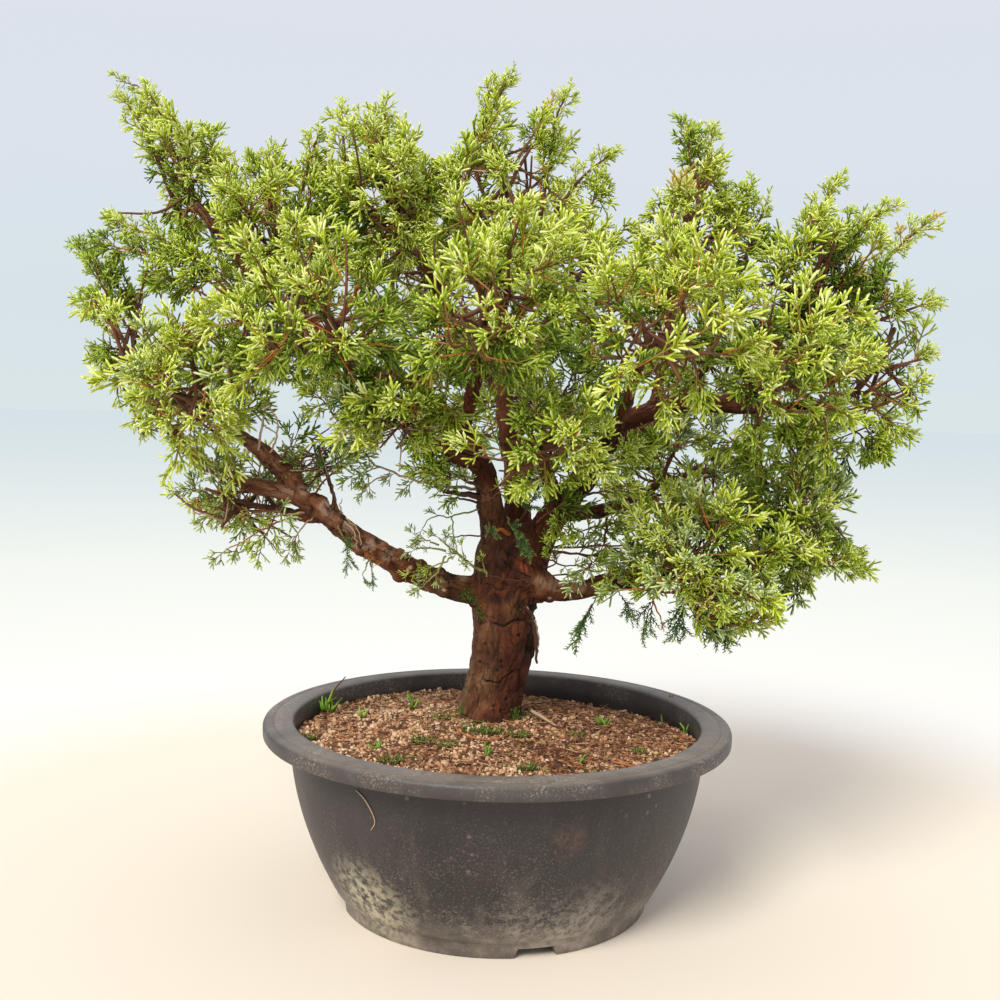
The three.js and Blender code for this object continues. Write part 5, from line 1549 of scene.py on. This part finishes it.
# Twigs that the photo shows one by one: their way through it, how far back each starts (on the wood
# where None) and ends, how thick, which wood, and the sprays on them: their green, how many, how long
SEEN_TWIGS = [
    # The thin twig that crosses in front of the trunk, and the young green shoot at its end
    ([(560, 574), (540, 577), (520, 580), (503, 579), (487, 574)], None, -24, 0.7, "old_twig"),
    ([(487, 574), (474, 567), (462, 557), (450, 548), (439, 538)],
     None, -30, 1.0, "green_twig", "grey", 5, 10),
    # Bark fibres that hang loose on the trunk's right
    ([(529, 603), (533, 622), (536, 643), (537, 663)], None, 3, 1.5, "old_twig"),
    ([(532, 607), (536, 626), (538, 642), (538, 652)], None, 6, 1.3, "pale_twig"),
    # Shoots at the crown's left edge
    ([(226, 290), (205, 268), (182, 252), (160, 238), (142, 231), (132, 226)],
     -8, -16, 0.9, "fresh_twig", "fresh", 12, 15),
    ([(230, 300), (212, 284), (196, 272), (178, 265)], -6, -12, 0.9, "fresh_twig", "fresh", 12, 17),
    ([(228, 262), (210, 255), (192, 250)], -6, -10, 0.8, "twig", "fresh", 9, 17),
    ([(215, 300), (196, 290), (178, 280), (162, 276)], -6, -12, 0.8, "fresh_twig", "mid", 8, 16),
    ([(140, 338), (118, 314), (104, 290), (96, 272)], 0, -8, 1.0, "twig", "mid", 16, 16),
    ([(120, 318), (104, 309), (92, 303)], -2, -8, 0.7, "twig", "fresh", 8, 16),
    ([(136, 352), (122, 350), (110, 348)], 0, -8, 0.8, "twig", "mid", 7, 14),
    ([(146, 372), (128, 372), (112, 370)], 0, -8, 0.8, "twig", "fresh", 7, 14),
    ([(160, 262), (142, 252), (124, 249), (110, 244)], -4, -12, 0.8, "fresh_twig", "mid", 9, 14),
    # Shoots along the crown's outline
    ([(226, 168), (216, 152), (209, 140)], -4, -6, 0.7, "twig", "fresh", 9, 15),
    ([(264, 192), (258, 181), (254, 172)], -4, -6, 0.7, "twig", "fresh", 7, 14),
    ([(550, 190), (543, 166), (539, 144), (537, 130)], -4, -6, 0.8, "twig", "mid", 12, 14),
    ([(584, 216), (592, 203), (597, 192)], -4, -6, 0.7, "twig", "fresh", 9, 14),
    ([(702, 192), (692, 164), (686, 138)], -4, -6, 0.8, "twig", "mid", 11, 13),
    ([(730, 216), (740, 206), (746, 198)], -4, -6, 0.7, "twig", "fresh", 9, 14),
    ([(866, 322), (880, 308), (892, 300)], -4, -6, 0.7, "twig", "fresh", 9, 15),
    ([(848, 428), (864, 438), (874, 448)], -4, -6, 0.7, "twig", "mid", 9, 15),
    ([(818, 472), (825, 452), (832, 438)], -18, -22, 0.7, "twig", "mid", 9, 16),
    ([(230, 432), (242, 414), (252, 403)], -22, -26, 0.7, "twig", "mid", 8, 15),
    ([(338, 422), (328, 406), (318, 396)], -30, -34, 0.7, "twig", "fresh", 8, 14),
    ([(444, 406), (447, 388), (450, 372)], -34, -40, 0.7, "twig", "mid", 9, 16),
    ([(564, 396), (571, 379), (578, 365)], -40, -46, 0.7, "twig", "mid", 9, 16),
    ([(154, 97), (138, 87), (123, 81)], 4, 6, 0.6, "twig", "fresh", 5, 8),
    ([(500, 97), (505, 88), (509, 81)], -4, -6, 0.6, "twig", "fresh", 4, 8),
    ([(916, 299), (926, 298), (933, 298)], 0, 0, 0.6, "twig", "fresh", 4, 8),
    ([(98, 264), (88, 256), (79, 248)], 0, 0, 0.6, "twig", "mid", 6, 10),
    ([(238, 298), (228, 284), (219, 272)], -8, -12, 0.7, "twig", "fresh", 9, 15),
    ([(746, 322), (740, 308), (734, 296)], -40, -46, 0.7, "twig", "fresh", 8, 15),
    ([(692, 404), (684, 392), (678, 381)], -46, -50, 0.7, "twig", "fresh", 8, 15),
    ([(772, 482), (764, 468), (755, 456)], -30, -34, 0.7, "twig", "mid", 10, 16),
    ([(800, 454), (806, 441), (811, 430)], -20, -24, 0.7, "twig", "fresh", 9, 16),
    ([(482, 488), (464, 479), (448, 473)], -18, -24, 1.3, "old_twig", "grey", 9, 13),
    # Tufts in front of the fork
    ([(500, 402), (512, 385), (522, 366)], -30, -40, 0.7, "twig", "fresh", 12, 17),
    ([(478, 392), (484, 372), (490, 350)], -26, -36, 0.7, "twig", "mid", 10, 17),
    ([(520, 440), (532, 420), (546, 402)], -30, -40, 0.7, "twig", "fresh", 12, 17),
    ([(556, 444), (576, 424), (598, 408)], -30, -40, 0.7, "twig", "mid", 12, 17),
    ([(500, 486), (514, 476), (528, 468)], -26, -34, 0.7, "twig", "mid", 9, 15),
    ([(474, 444), (458, 428), (440, 416)], -26, -36, 0.7, "twig", "fresh", 12, 17),
    ([(484, 502), (500, 492), (516, 486)], -22, -28, 0.6, "twig", "fresh", 6, 13),
    ([(536, 522), (550, 512), (566, 506)], -24, -30, 0.7, "twig", "deep", 8, 15),
    ([(540, 484), (560, 468), (582, 460)], -28, -36, 0.7, "twig", "fresh", 10, 16),
    ([(600, 472), (616, 458), (632, 450)], -30, -38, 0.7, "twig", "fresh", 9, 16),
    # Shoots at its lower left, its right and below
    ([(212, 496), (200, 491), (192, 489)], 0, -6, 0.8, "twig", "grey", 6, 13),
    ([(728, 556), (716, 535), (706, 516)], -20, -26, 0.8, "twig", "mid", 10, 17),
    ([(862, 396), (878, 410), (894, 424)], -4, -8, 0.8, "twig", "fresh", 10, 17),
    ([(802, 478), (796, 458), (790, 442)], -24, -28, 0.8, "twig", "mid", 9, 17),
    ([(832, 566), (840, 568), (849, 567)], -6, -10, 0.8, "twig", "fresh", 9, 15),
    ([(668, 478), (660, 462), (650, 448)], -26, -30, 0.7, "twig", "mid", 7, 17),
    ([(668, 398), (668, 386), (660, 376)], -40, -44, 0.7, "twig", "mid", 6, 16),
    ([(446, 551), (430, 548), (416, 549)], -25, -27, 0.7, "green_twig", "grey", 3, 8),
    ([(446, 556), (438, 571), (421, 588)], -25, -30, 0.7, "green_twig", "grey", 4, 9),
    ([(452, 557), (434, 566), (416, 571)], -25, -28, 0.6, "green_twig", "fresh", 3, 8),
    ([(467, 563), (464, 556), (462, 548)], -25, -28, 0.5, "green_twig", "fresh", 1, 6),
    ([(487, 576), (485, 570), (483, 563)], -25, -28, 0.5, "green_twig", "fresh", 1, 6),
    ([(439, 545), (428, 540), (416, 536)], -26, -28, 0.6, "green_twig", "grey", 3, 8),
    # Feathery young growth on the trunk and under the boughs
    ([(336, 522), (343, 536), (348, 548)], None, -30, 0.5, "green_twig", "needle", 3, 12),
    ([(348, 548), (349, 558), (347, 565)], -30, -31, 0.4, "green_twig", "needle", 2, 9),
    ([(367, 561), (372, 572), (374, 580)], None, -26, 0.5, "green_twig", "needle", 2, 10),
    ([(367, 561), (365, 570), (363, 576)], None, -28, 0.5, "green_twig", "needle", 1, 9),
    ([(489, 521), (489, 530)], None, -22, 0.5, "green_twig", "needle", 3, 12),
    ([(505, 516), (513, 530), (520, 540)], None, -22, 0.6, "green_twig", "needle", 6, 13),
    ([(600, 590), (594, 602), (584, 618)], None, -26, 0.5, "twig", "needle", 3, 16),
    ([(617, 588), (622, 598), (627, 606)], None, -24, 0.4, "twig", "needle", 3, 13),
    ([(655, 590), (653, 602), (648, 613)], None, -28, 0.5, "twig", "needle", 3, 15),
    ([(684, 588), (684, 602), (681, 618)], None, -30, 0.6, "twig", "needle", 5, 16),
    ([(703, 588), (709, 608), (718, 628)], None, -34, 0.6, "twig", "needle", 6, 16),
    ([(684, 588), (694, 604), (698, 615)], None, -40, 0.6, "twig", "needle", 4, 15),
    # Sprays in front of the right bough and in the fork
    ([(604, 546), (592, 560), (580, 576)], None, -36, 0.8, "twig", "grey", 5, 14),
    ([(604, 546), (612, 562), (606, 580)], None, -38, 0.8, "twig", "fresh", 5, 13),
    ([(620, 575), (640, 566), (666, 562)], None, -40, 0.9, "twig", "fresh", 6, 15),
    ([(640, 583), (662, 572), (688, 566)], None, -44, 0.9, "twig", "bright", 6, 15),
    ([(604, 546), (585, 536), (566, 525)], None, -30, 0.7, "twig", "mid", 4, 13),
    ([(560, 575), (557, 562), (551, 549)], None, -24, 0.6, "twig", "mid", 4, 10),
    ([(604, 520), (618, 512), (640, 508)], None, -36, 0.9, "twig", "fresh", 6, 16),
    ([(585, 500), (600, 492), (622, 486)], None, -40, 0.9, "twig", "bright", 6, 16),
    ([(560, 500), (556, 515), (562, 530)], None, -34, 0.7, "twig", "fresh", 4, 14),
    ([(600, 540), (622, 545), (640, 540)], None, -46, 0.8, "twig", "fresh", 5, 14),
    ([(478, 470), (458, 462), (434, 454)], None, -26, 0.8, "twig", "mid", 6, 17),
    ([(478, 480), (452, 474), (428, 470)], None, -30, 0.8, "twig", "fresh", 6, 16),
    ([(476, 455), (452, 446), (428, 440)], None, -34, 0.8, "twig", "mid", 6, 17),
    ([(520, 520), (528, 508), (534, 496)], None, -26, 0.6, "twig", "needle", 4, 14),
    ([(560, 560), (572, 566), (590, 563)], None, -30, 0.6, "twig", "mid", 4, 12),
    ([(600, 530), (608, 524), (618, 526)], None, -34, 0.6, "twig", "mid", 4, 13),
    ([(300, 470), (314, 460), (325, 452)], None, -22, 0.7, "twig", "needle", 4, 13),
    ([(315, 485), (335, 470), (352, 462)], None, -24, 0.7, "twig", "grey", 6, 16),
    ([(283, 455), (290, 446), (296, 436)], None, -22, 0.6, "twig", "deep", 4, 14),
    # Thin and dead twigs left of the trunk
    ([(462, 492), (436, 485), (393, 473), (371, 461), (363, 450)],
     None, -18, 1.0, "pale_twig", "grey", 4, 12),
    ([(389, 475), (373, 481), (365, 490)], -20, -24, 0.6, "pale_twig", "grey", 3, 9),
    ([(380, 467), (368, 470), (356, 474)], -20, -22, 0.5, "green_twig", "mid", 3, 11),
    ([(474, 505), (456, 498), (448, 506), (448, 514)], None, -22, 0.8, "old_twig"),
    ([(472, 510), (449, 516), (434, 516), (423, 528)], None, -26, 0.6, "green_twig", "grey", 2, 8),
    ([(452, 516), (454, 540), (459, 554)], -24, -26, 0.5, "green_twig", "grey", 1, 7),
    ([(476, 530), (459, 536), (444, 538)], None, -26, 0.6, "twig"),
    ([(478, 498), (462, 494), (444, 491)], None, -24, 2.2, "old_twig", "mid", 3, 12),
    ([(258, 450), (262, 428), (266, 408), (269, 388), (272, 366)], None, -30, 0.8, "pale_twig"),
    ([(270, 452), (277, 436), (277, 420), (271, 410), (267, 402)], None, -28, 0.7, "pale_twig"),
    ([(263, 424), (270, 430), (277, 434)], -22, -23, 0.6, "pale_twig"),
    ([(300, 520), (270, 516), (246, 512), (232, 520)], None, -28, 0.7, "pale_twig", "yellow", 2, 8),
    ([(295, 524), (262, 530), (240, 543), (226, 550)], None, -30, 0.7, "fresh_twig", "grey", 4, 13),
    ([(280, 515), (268, 530), (262, 545)], None, -32, 0.6, "twig", "fresh", 4, 13),
    ([(310, 520), (296, 535), (290, 548)], None, -30, 0.6, "pale_twig", "grey", 4, 12),
    ([(250, 487), (228, 500), (212, 512)], None, -26, 0.6, "twig", "grey", 4, 13),
    # Torn fibres and a dry tuft on the left bough
    ([(341, 519), (350, 527), (356, 538), (357, 548)], None, -28, 0.6, "pale_twig"),
    ([(346, 517), (357, 528), (361, 545)], None, -27, 0.5, "pale_twig"),
    ([(343, 514), (340, 506), (342, 499)], None, -24, 0.5, "pale_twig"),
    ([(364, 549), (367, 554)], None, -24, 0.4, "fresh_twig", "dry", 7, 7),
    ([(373, 556), (376, 561)], None, -24, 0.4, "fresh_twig", "dry", 4, 6),
    # Dead twigs and stubs
    ([(640, 583), (652, 600), (661, 620)], None, -34, 0.8, "fresh_twig", "dry", 1, 7),
    ([(698, 575), (711, 588), (713, 611)], None, -42, 0.9, "fresh_twig", "dry", 2, 8),
    ([(604, 500), (607, 512), (606, 530), (604, 546)], None, -34, 1.1, "old_twig"),
    ([(604, 545), (618, 552), (634, 556)], -34, -36, 0.8, "twig"),
    ([(583, 575), (562, 575), (545, 578)], None, -24, 0.8, "twig"),
    ([(510, 534), (502, 530), (495, 530)], None, -24, 1.6, "fresh_twig"),
    ([(351, 312), (353, 300), (357, 287)], None, -46, 2.6, "fresh_twig"),
    ([(690, 412), (698, 398), (704, 383)], None, -60, 2.4, "twig"),
    ([(330, 420), (350, 408), (372, 404)], -38, -40, 0.7, "pale_twig", "yellow", 5, 12),
    ([(372, 430), (386, 420), (392, 408)], -42, -44, 0.6, "pale_twig", "yellow", 3, 11),
]

# On the soil: where moss grows and how wide it spreads; seedlings, how tall, and their leaves
MOSS_ON_SOIL = [
    ((478, 730), 9), ((490, 731), 7), ((521, 716), 6), ((517, 734), 7), ((445, 717), 7), ((424, 741), 7),
    ((448, 745), 6), ((392, 760), 7), ((310, 738), 4), ((528, 768), 6), ((575, 735), 4), ((640, 752), 4),
]
SPROUTS = [
    ((324, 712), 15, 9), ((331, 712), 9, 5), ((413, 708), 10, 5), ((363, 717), 7, 3), ((378, 749), 6, 3),
    ((605, 726), 7, 5), ((487, 757), 8, 3), ((579, 764), 7, 3), ((686, 733), 8, 2), ((662, 724), 6, 2),
]
# Each stick's way through the photo, how high each point stands over the soil, its thickness and wood
SOIL_STICKS = [
    ([(331, 707), (333, 692), (345, 676)], (0, 9, 17), 0.6, "twig"),
    ([(531, 711), (543, 718), (556, 726)], (4, 3, 0.5), 1.3, "pale_twig"),
    ([(642, 711), (648, 703), (655, 705), (662, 716)], (0, 5, 5, 0), 0.8, "twig"),
    ([(598, 720), (599, 713), (607, 704)], (0, 4, 8), 0.5, "old_twig"),
    ([(621, 716), (624, 728), (624, 741)], (1, 1, 1), 0.6, "twig"),
    ([(668, 720), (675, 711), (681, 700)], (0, 6, 12), 0.7, "fresh_twig"),
    ([(612, 762), (626, 765), (640, 768)], (1, 1.2, 1), 0.7, "fresh_twig"),
    ([(455, 728), (470, 737), (492, 740), (510, 734)], (1, 1, 1.5, 1), 0.6, "fresh_twig"),
]
# A dry sprig on the soil, and a rootlet that hangs on the pot's wall
DRY_SPRIG = (672, 704)
ROOTLET = [(356, 790), (365, 800), (375, 822), (371, 830)]


def seen_twig(foliage, rng, limbs, pixels, start, end, radius, wood, green=None, number=0, size=0):
    root = on_wood(pixels[0], limbs, 0.9) if start is None else seen_at(pixels[0], start)
    count = len(pixels) - 1
    places = [root] + [
        seen_at(pixel, root[1] + (end - root[1]) * math.sqrt((k + 1) / count))
        for k, pixel in enumerate(pixels[1:])
    ]
    path = smooth_path(places, 4 * len(places))
    path[1:-1] += rng.normal(0, 0.35, (len(path) - 2, 3))
    foliage.twig(path, np.linspace(radius, 0.5 * radius, len(path)), wood, 5)
    needles = green in FEATHERY
    group = "inner_left" if root[0] < 0 else "inner_right"
    headings = frames_on(path)[0]
    for k in range(number):
        share = 1 - 0.65 * k / number
        heading = headings[int(share * (len(path) - 1))]
        spread = 0.15 if k == 0 else 0.5 if needles else 0.9
        heading = unit(heading + spread * unit(rng.normal(size=3)) - [0, 0, 0.1])
        kind = TEMPLATES + rng.integers(SPRIGS) if needles else rng.integers(TEMPLATES)
        normal = unit(np.cross(heading, rng.normal(size=3)))
        length = size * rng.uniform(0.8, 1.2)
        foliage.spray(group, along(path, share), heading, normal, length, GREEN_NAMES.index(green), kind)


def on_soil(pixel, above=0.0):
    """The point that the photo shows at a pixel, on the soil or so far over it"""
    ray = seen_at(pixel, 0.0) - CAMERA_PLACE
    level = SOIL_AT_WALL
    for _ in range(8):
        point = CAMERA_PLACE + ray * (level - CAMERA_PLACE[2]) / ray[2]
        level = float(soil_height(point[:1], point[1:2])[0]) + 0.8
    return point + [0, 0, above]


def on_pot_wall(pixel):
    """The point that the photo shows at a pixel, on the pot's outer wall"""
    ray = seen_at(pixel, 0.0) - CAMERA_PLACE
    for share in np.linspace(0.7, 1.0, 900):
        point = CAMERA_PLACE + ray * share
        if math.hypot(point[0], point[1]) < wall_radius(point[2]) + 0.5:
            return point
    return point


def spikes(heap, rng, centre, spread, count, height, radius, which):
    """Short pointed leaves that stand in a tuft, leaning outwards"""
    for _ in range(count):
        turn, out = rng.uniform(0, 2 * math.pi), spread * math.sqrt(rng.uniform())
        foot = centre + [out * math.cos(turn), out * math.sin(turn), 0]
        lean = unit(np.array([0.5 * math.cos(turn), 0.5 * math.sin(turn), 1]) + rng.normal(0, 0.3, 3))
        tall = height * rng.uniform(0.5, 1.2)
        bend = foot + lean * tall * 0.5 + rng.normal(0, 0.1 * tall, 3)
        points, triangles = tube(np.array([foot, bend, foot + lean * tall]), [radius, radius, 0.4 * radius])
        heap.put(points, triangles, rng.choice(which))


def small_greens(foliage, limbs):
    """Moss at the trunk's foot and on the soil and bark, a few seedlings, sticks and a rootlet"""
    rng = np.random.default_rng(31)
    heap = Heap()
    for pixel, spread in MOSS_ON_SOIL:
        spikes(heap, rng, on_soil(pixel, -0.5), spread, int(18 * spread), 2.6, 0.34, [0, 0, 1])
    for pixel, size in MOSS_PLACES:
        for _ in range(int(14 * size)):
            beside = (pixel[0] + rng.normal(0, size * 0.6), pixel[1] + rng.normal(0, size * 0.6))
            place = on_wood(beside, limbs, 1.0)
            spikes(heap, rng, place, 0.6, 1, 1.6, 0.25, [0, 0, 1])
    for pixel, tall, count in SPROUTS:
        spikes(heap, rng, on_soil(pixel), 1.4, count, tall, 0.85, [2, 2, 3])
    made = [plain(name, code, 0.7, 0.3) for name, code in (
        ("dark_moss", "#4d5c24"), ("pale_moss", "#7d8a3a"), ("seedling_leaf", "#6f9a34"),
        ("seedling_tip", "#9cc04c"))]
    greens = heap.piece("moss_and_seedlings", made)
    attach(greens, "root")
    for pixels, heights, radius, wood in SOIL_STICKS:
        places = [on_soil((x, y + 1.6 * high), high) for (x, y), high in zip(pixels, heights)]
        foliage.twig(smooth_path(places, 9), np.linspace(radius, 0.6 * radius, 9), wood, 5)
    for k in range(8):
        heading = unit(rng.normal(size=3) + [-0.6, 0, 0.2])
        root = on_soil((DRY_SPRIG[0], DRY_SPRIG[1] + 14), 9) + rng.normal(0, 1.5, 3)
        path = np.array([root, root + heading * 4, root + heading * 7])
        foliage.twig(path, [0.9, 0.9, 0.5], "fresh_twig", 4)
    path = smooth_path([on_pot_wall(pixel) for pixel in ROOTLET], 12)
    foliage.twig(path, np.linspace(0.4, 0.25, 12), "pale_twig", 5)


def place_camera():
    right, upward, forward = camera_axes()
    data = bpy.data.cameras.new("camera")
    data.sensor_width = SENSOR
    data.sensor_fit = "HORIZONTAL"
    data.lens = SENSOR * LENS_PER_WIDTH
    data.clip_start = 0.01
    camera = bpy.data.objects.new("camera", data)
    camera.matrix_world = standing(right, upward, -forward, CAMERA_PLACE / 1000 + AXIS)
    bpy.context.scene.collection.objects.link(camera)
    bpy.context.scene.camera = camera


def soft_sun(name, place, angle, strength, code):
    data = bpy.data.lights.new(name, "SUN")
    data.angle = math.radians(angle)
    data.energy = strength
    data.color = srgb(code)[:3]
    light = bpy.data.objects.new(name, data)
    light.rotation_euler = (-Vector(place)).to_track_quat("-Z", "Y").to_euler()
    bpy.context.scene.collection.objects.link(light)


def light_and_floor():
    scene = bpy.context.scene
    scene.view_settings.view_transform = "Standard"
    world = bpy.data.worlds.new("soft_daylight")
    scene.world = world
    world.use_nodes = True
    tree = world.node_tree
    tree.nodes.clear()
    direction = add(tree, "ShaderNodeTexCoord", gives="Generated")
    height = add(tree, "ShaderNodeSeparateXYZ", {"Vector": direction}, gives="Z")
    shade = add(tree, "ShaderNodeValToRGB", {"Fac": height}, stops=[
        (0.0, "#dae5e8"), (0.08, "#d8e3e9"), (0.2, "#dbe3ec"), (0.42, "#dfe1ea")])
    light = add(tree, "ShaderNodeBackground", {"Color": shade, "Strength": 1.0})
    add(tree, "ShaderNodeOutputWorld", {"Surface": light})
    soft_sun("key_light", (-0.42, -0.85, 0.92), 26, 2.95, "#fffaf0")
    bm = bmesh.new()
    bmesh.ops.create_circle(bm, cap_ends=True, segments=96, radius=60000)
    floor = finish_bmesh("floor", bm, [floor_finish()], smooth=False)


def floor_finish():
    # Painted board: warm off-white, matt, fading to the paler wall colour far away
    made, tree, surface = material("pale_painted_floor")
    place = add(tree, "ShaderNodeTexCoord", gives="Object")
    far = add(tree, "ShaderNodeVectorMath", {0: place}, gives="Value", operation="LENGTH")
    near = add(tree, "ShaderNodeMath", {0: 0.4, 1: far}, operation="DIVIDE")
    colour = add(tree, "ShaderNodeValToRGB", {"Fac": near}, stops=[
        (0.02, "#b9c4c7"), (0.25, "#d5d8d2"), (0.65, "#e3e2dd"), (1.0, "#e8ddcd")])
    tree.links.new(colour, surface.inputs["Base Color"])
    surface.inputs["Roughness"].default_value = 1.0
    surface.inputs["Specular IOR Level"].default_value = 0.0
    return made


def build():
    limbs = {"trunk": trunk_limb()}
    for order, (name, (points, radii)) in enumerate(MAIN_LIMBS.items()):
        limbs[name] = limb_of(points, radii, order)
    masses = settle_masses(limbs)
    place_camera()
    build_pot()
    soil_bed()
    soil_grains()
    soil_litter()
    build_bark(limbs)
    foliage = Foliage()
    for mass in masses.values():
        grow_mass(foliage, mass)
    grow_leading_shoots(foliage, masses)
    rng = np.random.default_rng(63)
    for twig in SEEN_TWIGS:
        seen_twig(foliage, rng, limbs, *twig)
    small_greens(foliage, limbs)
    settle_greens(foliage, masses)
    join_sprays(foliage)
    join_twigs(foliage)
    light_and_floor()


build()
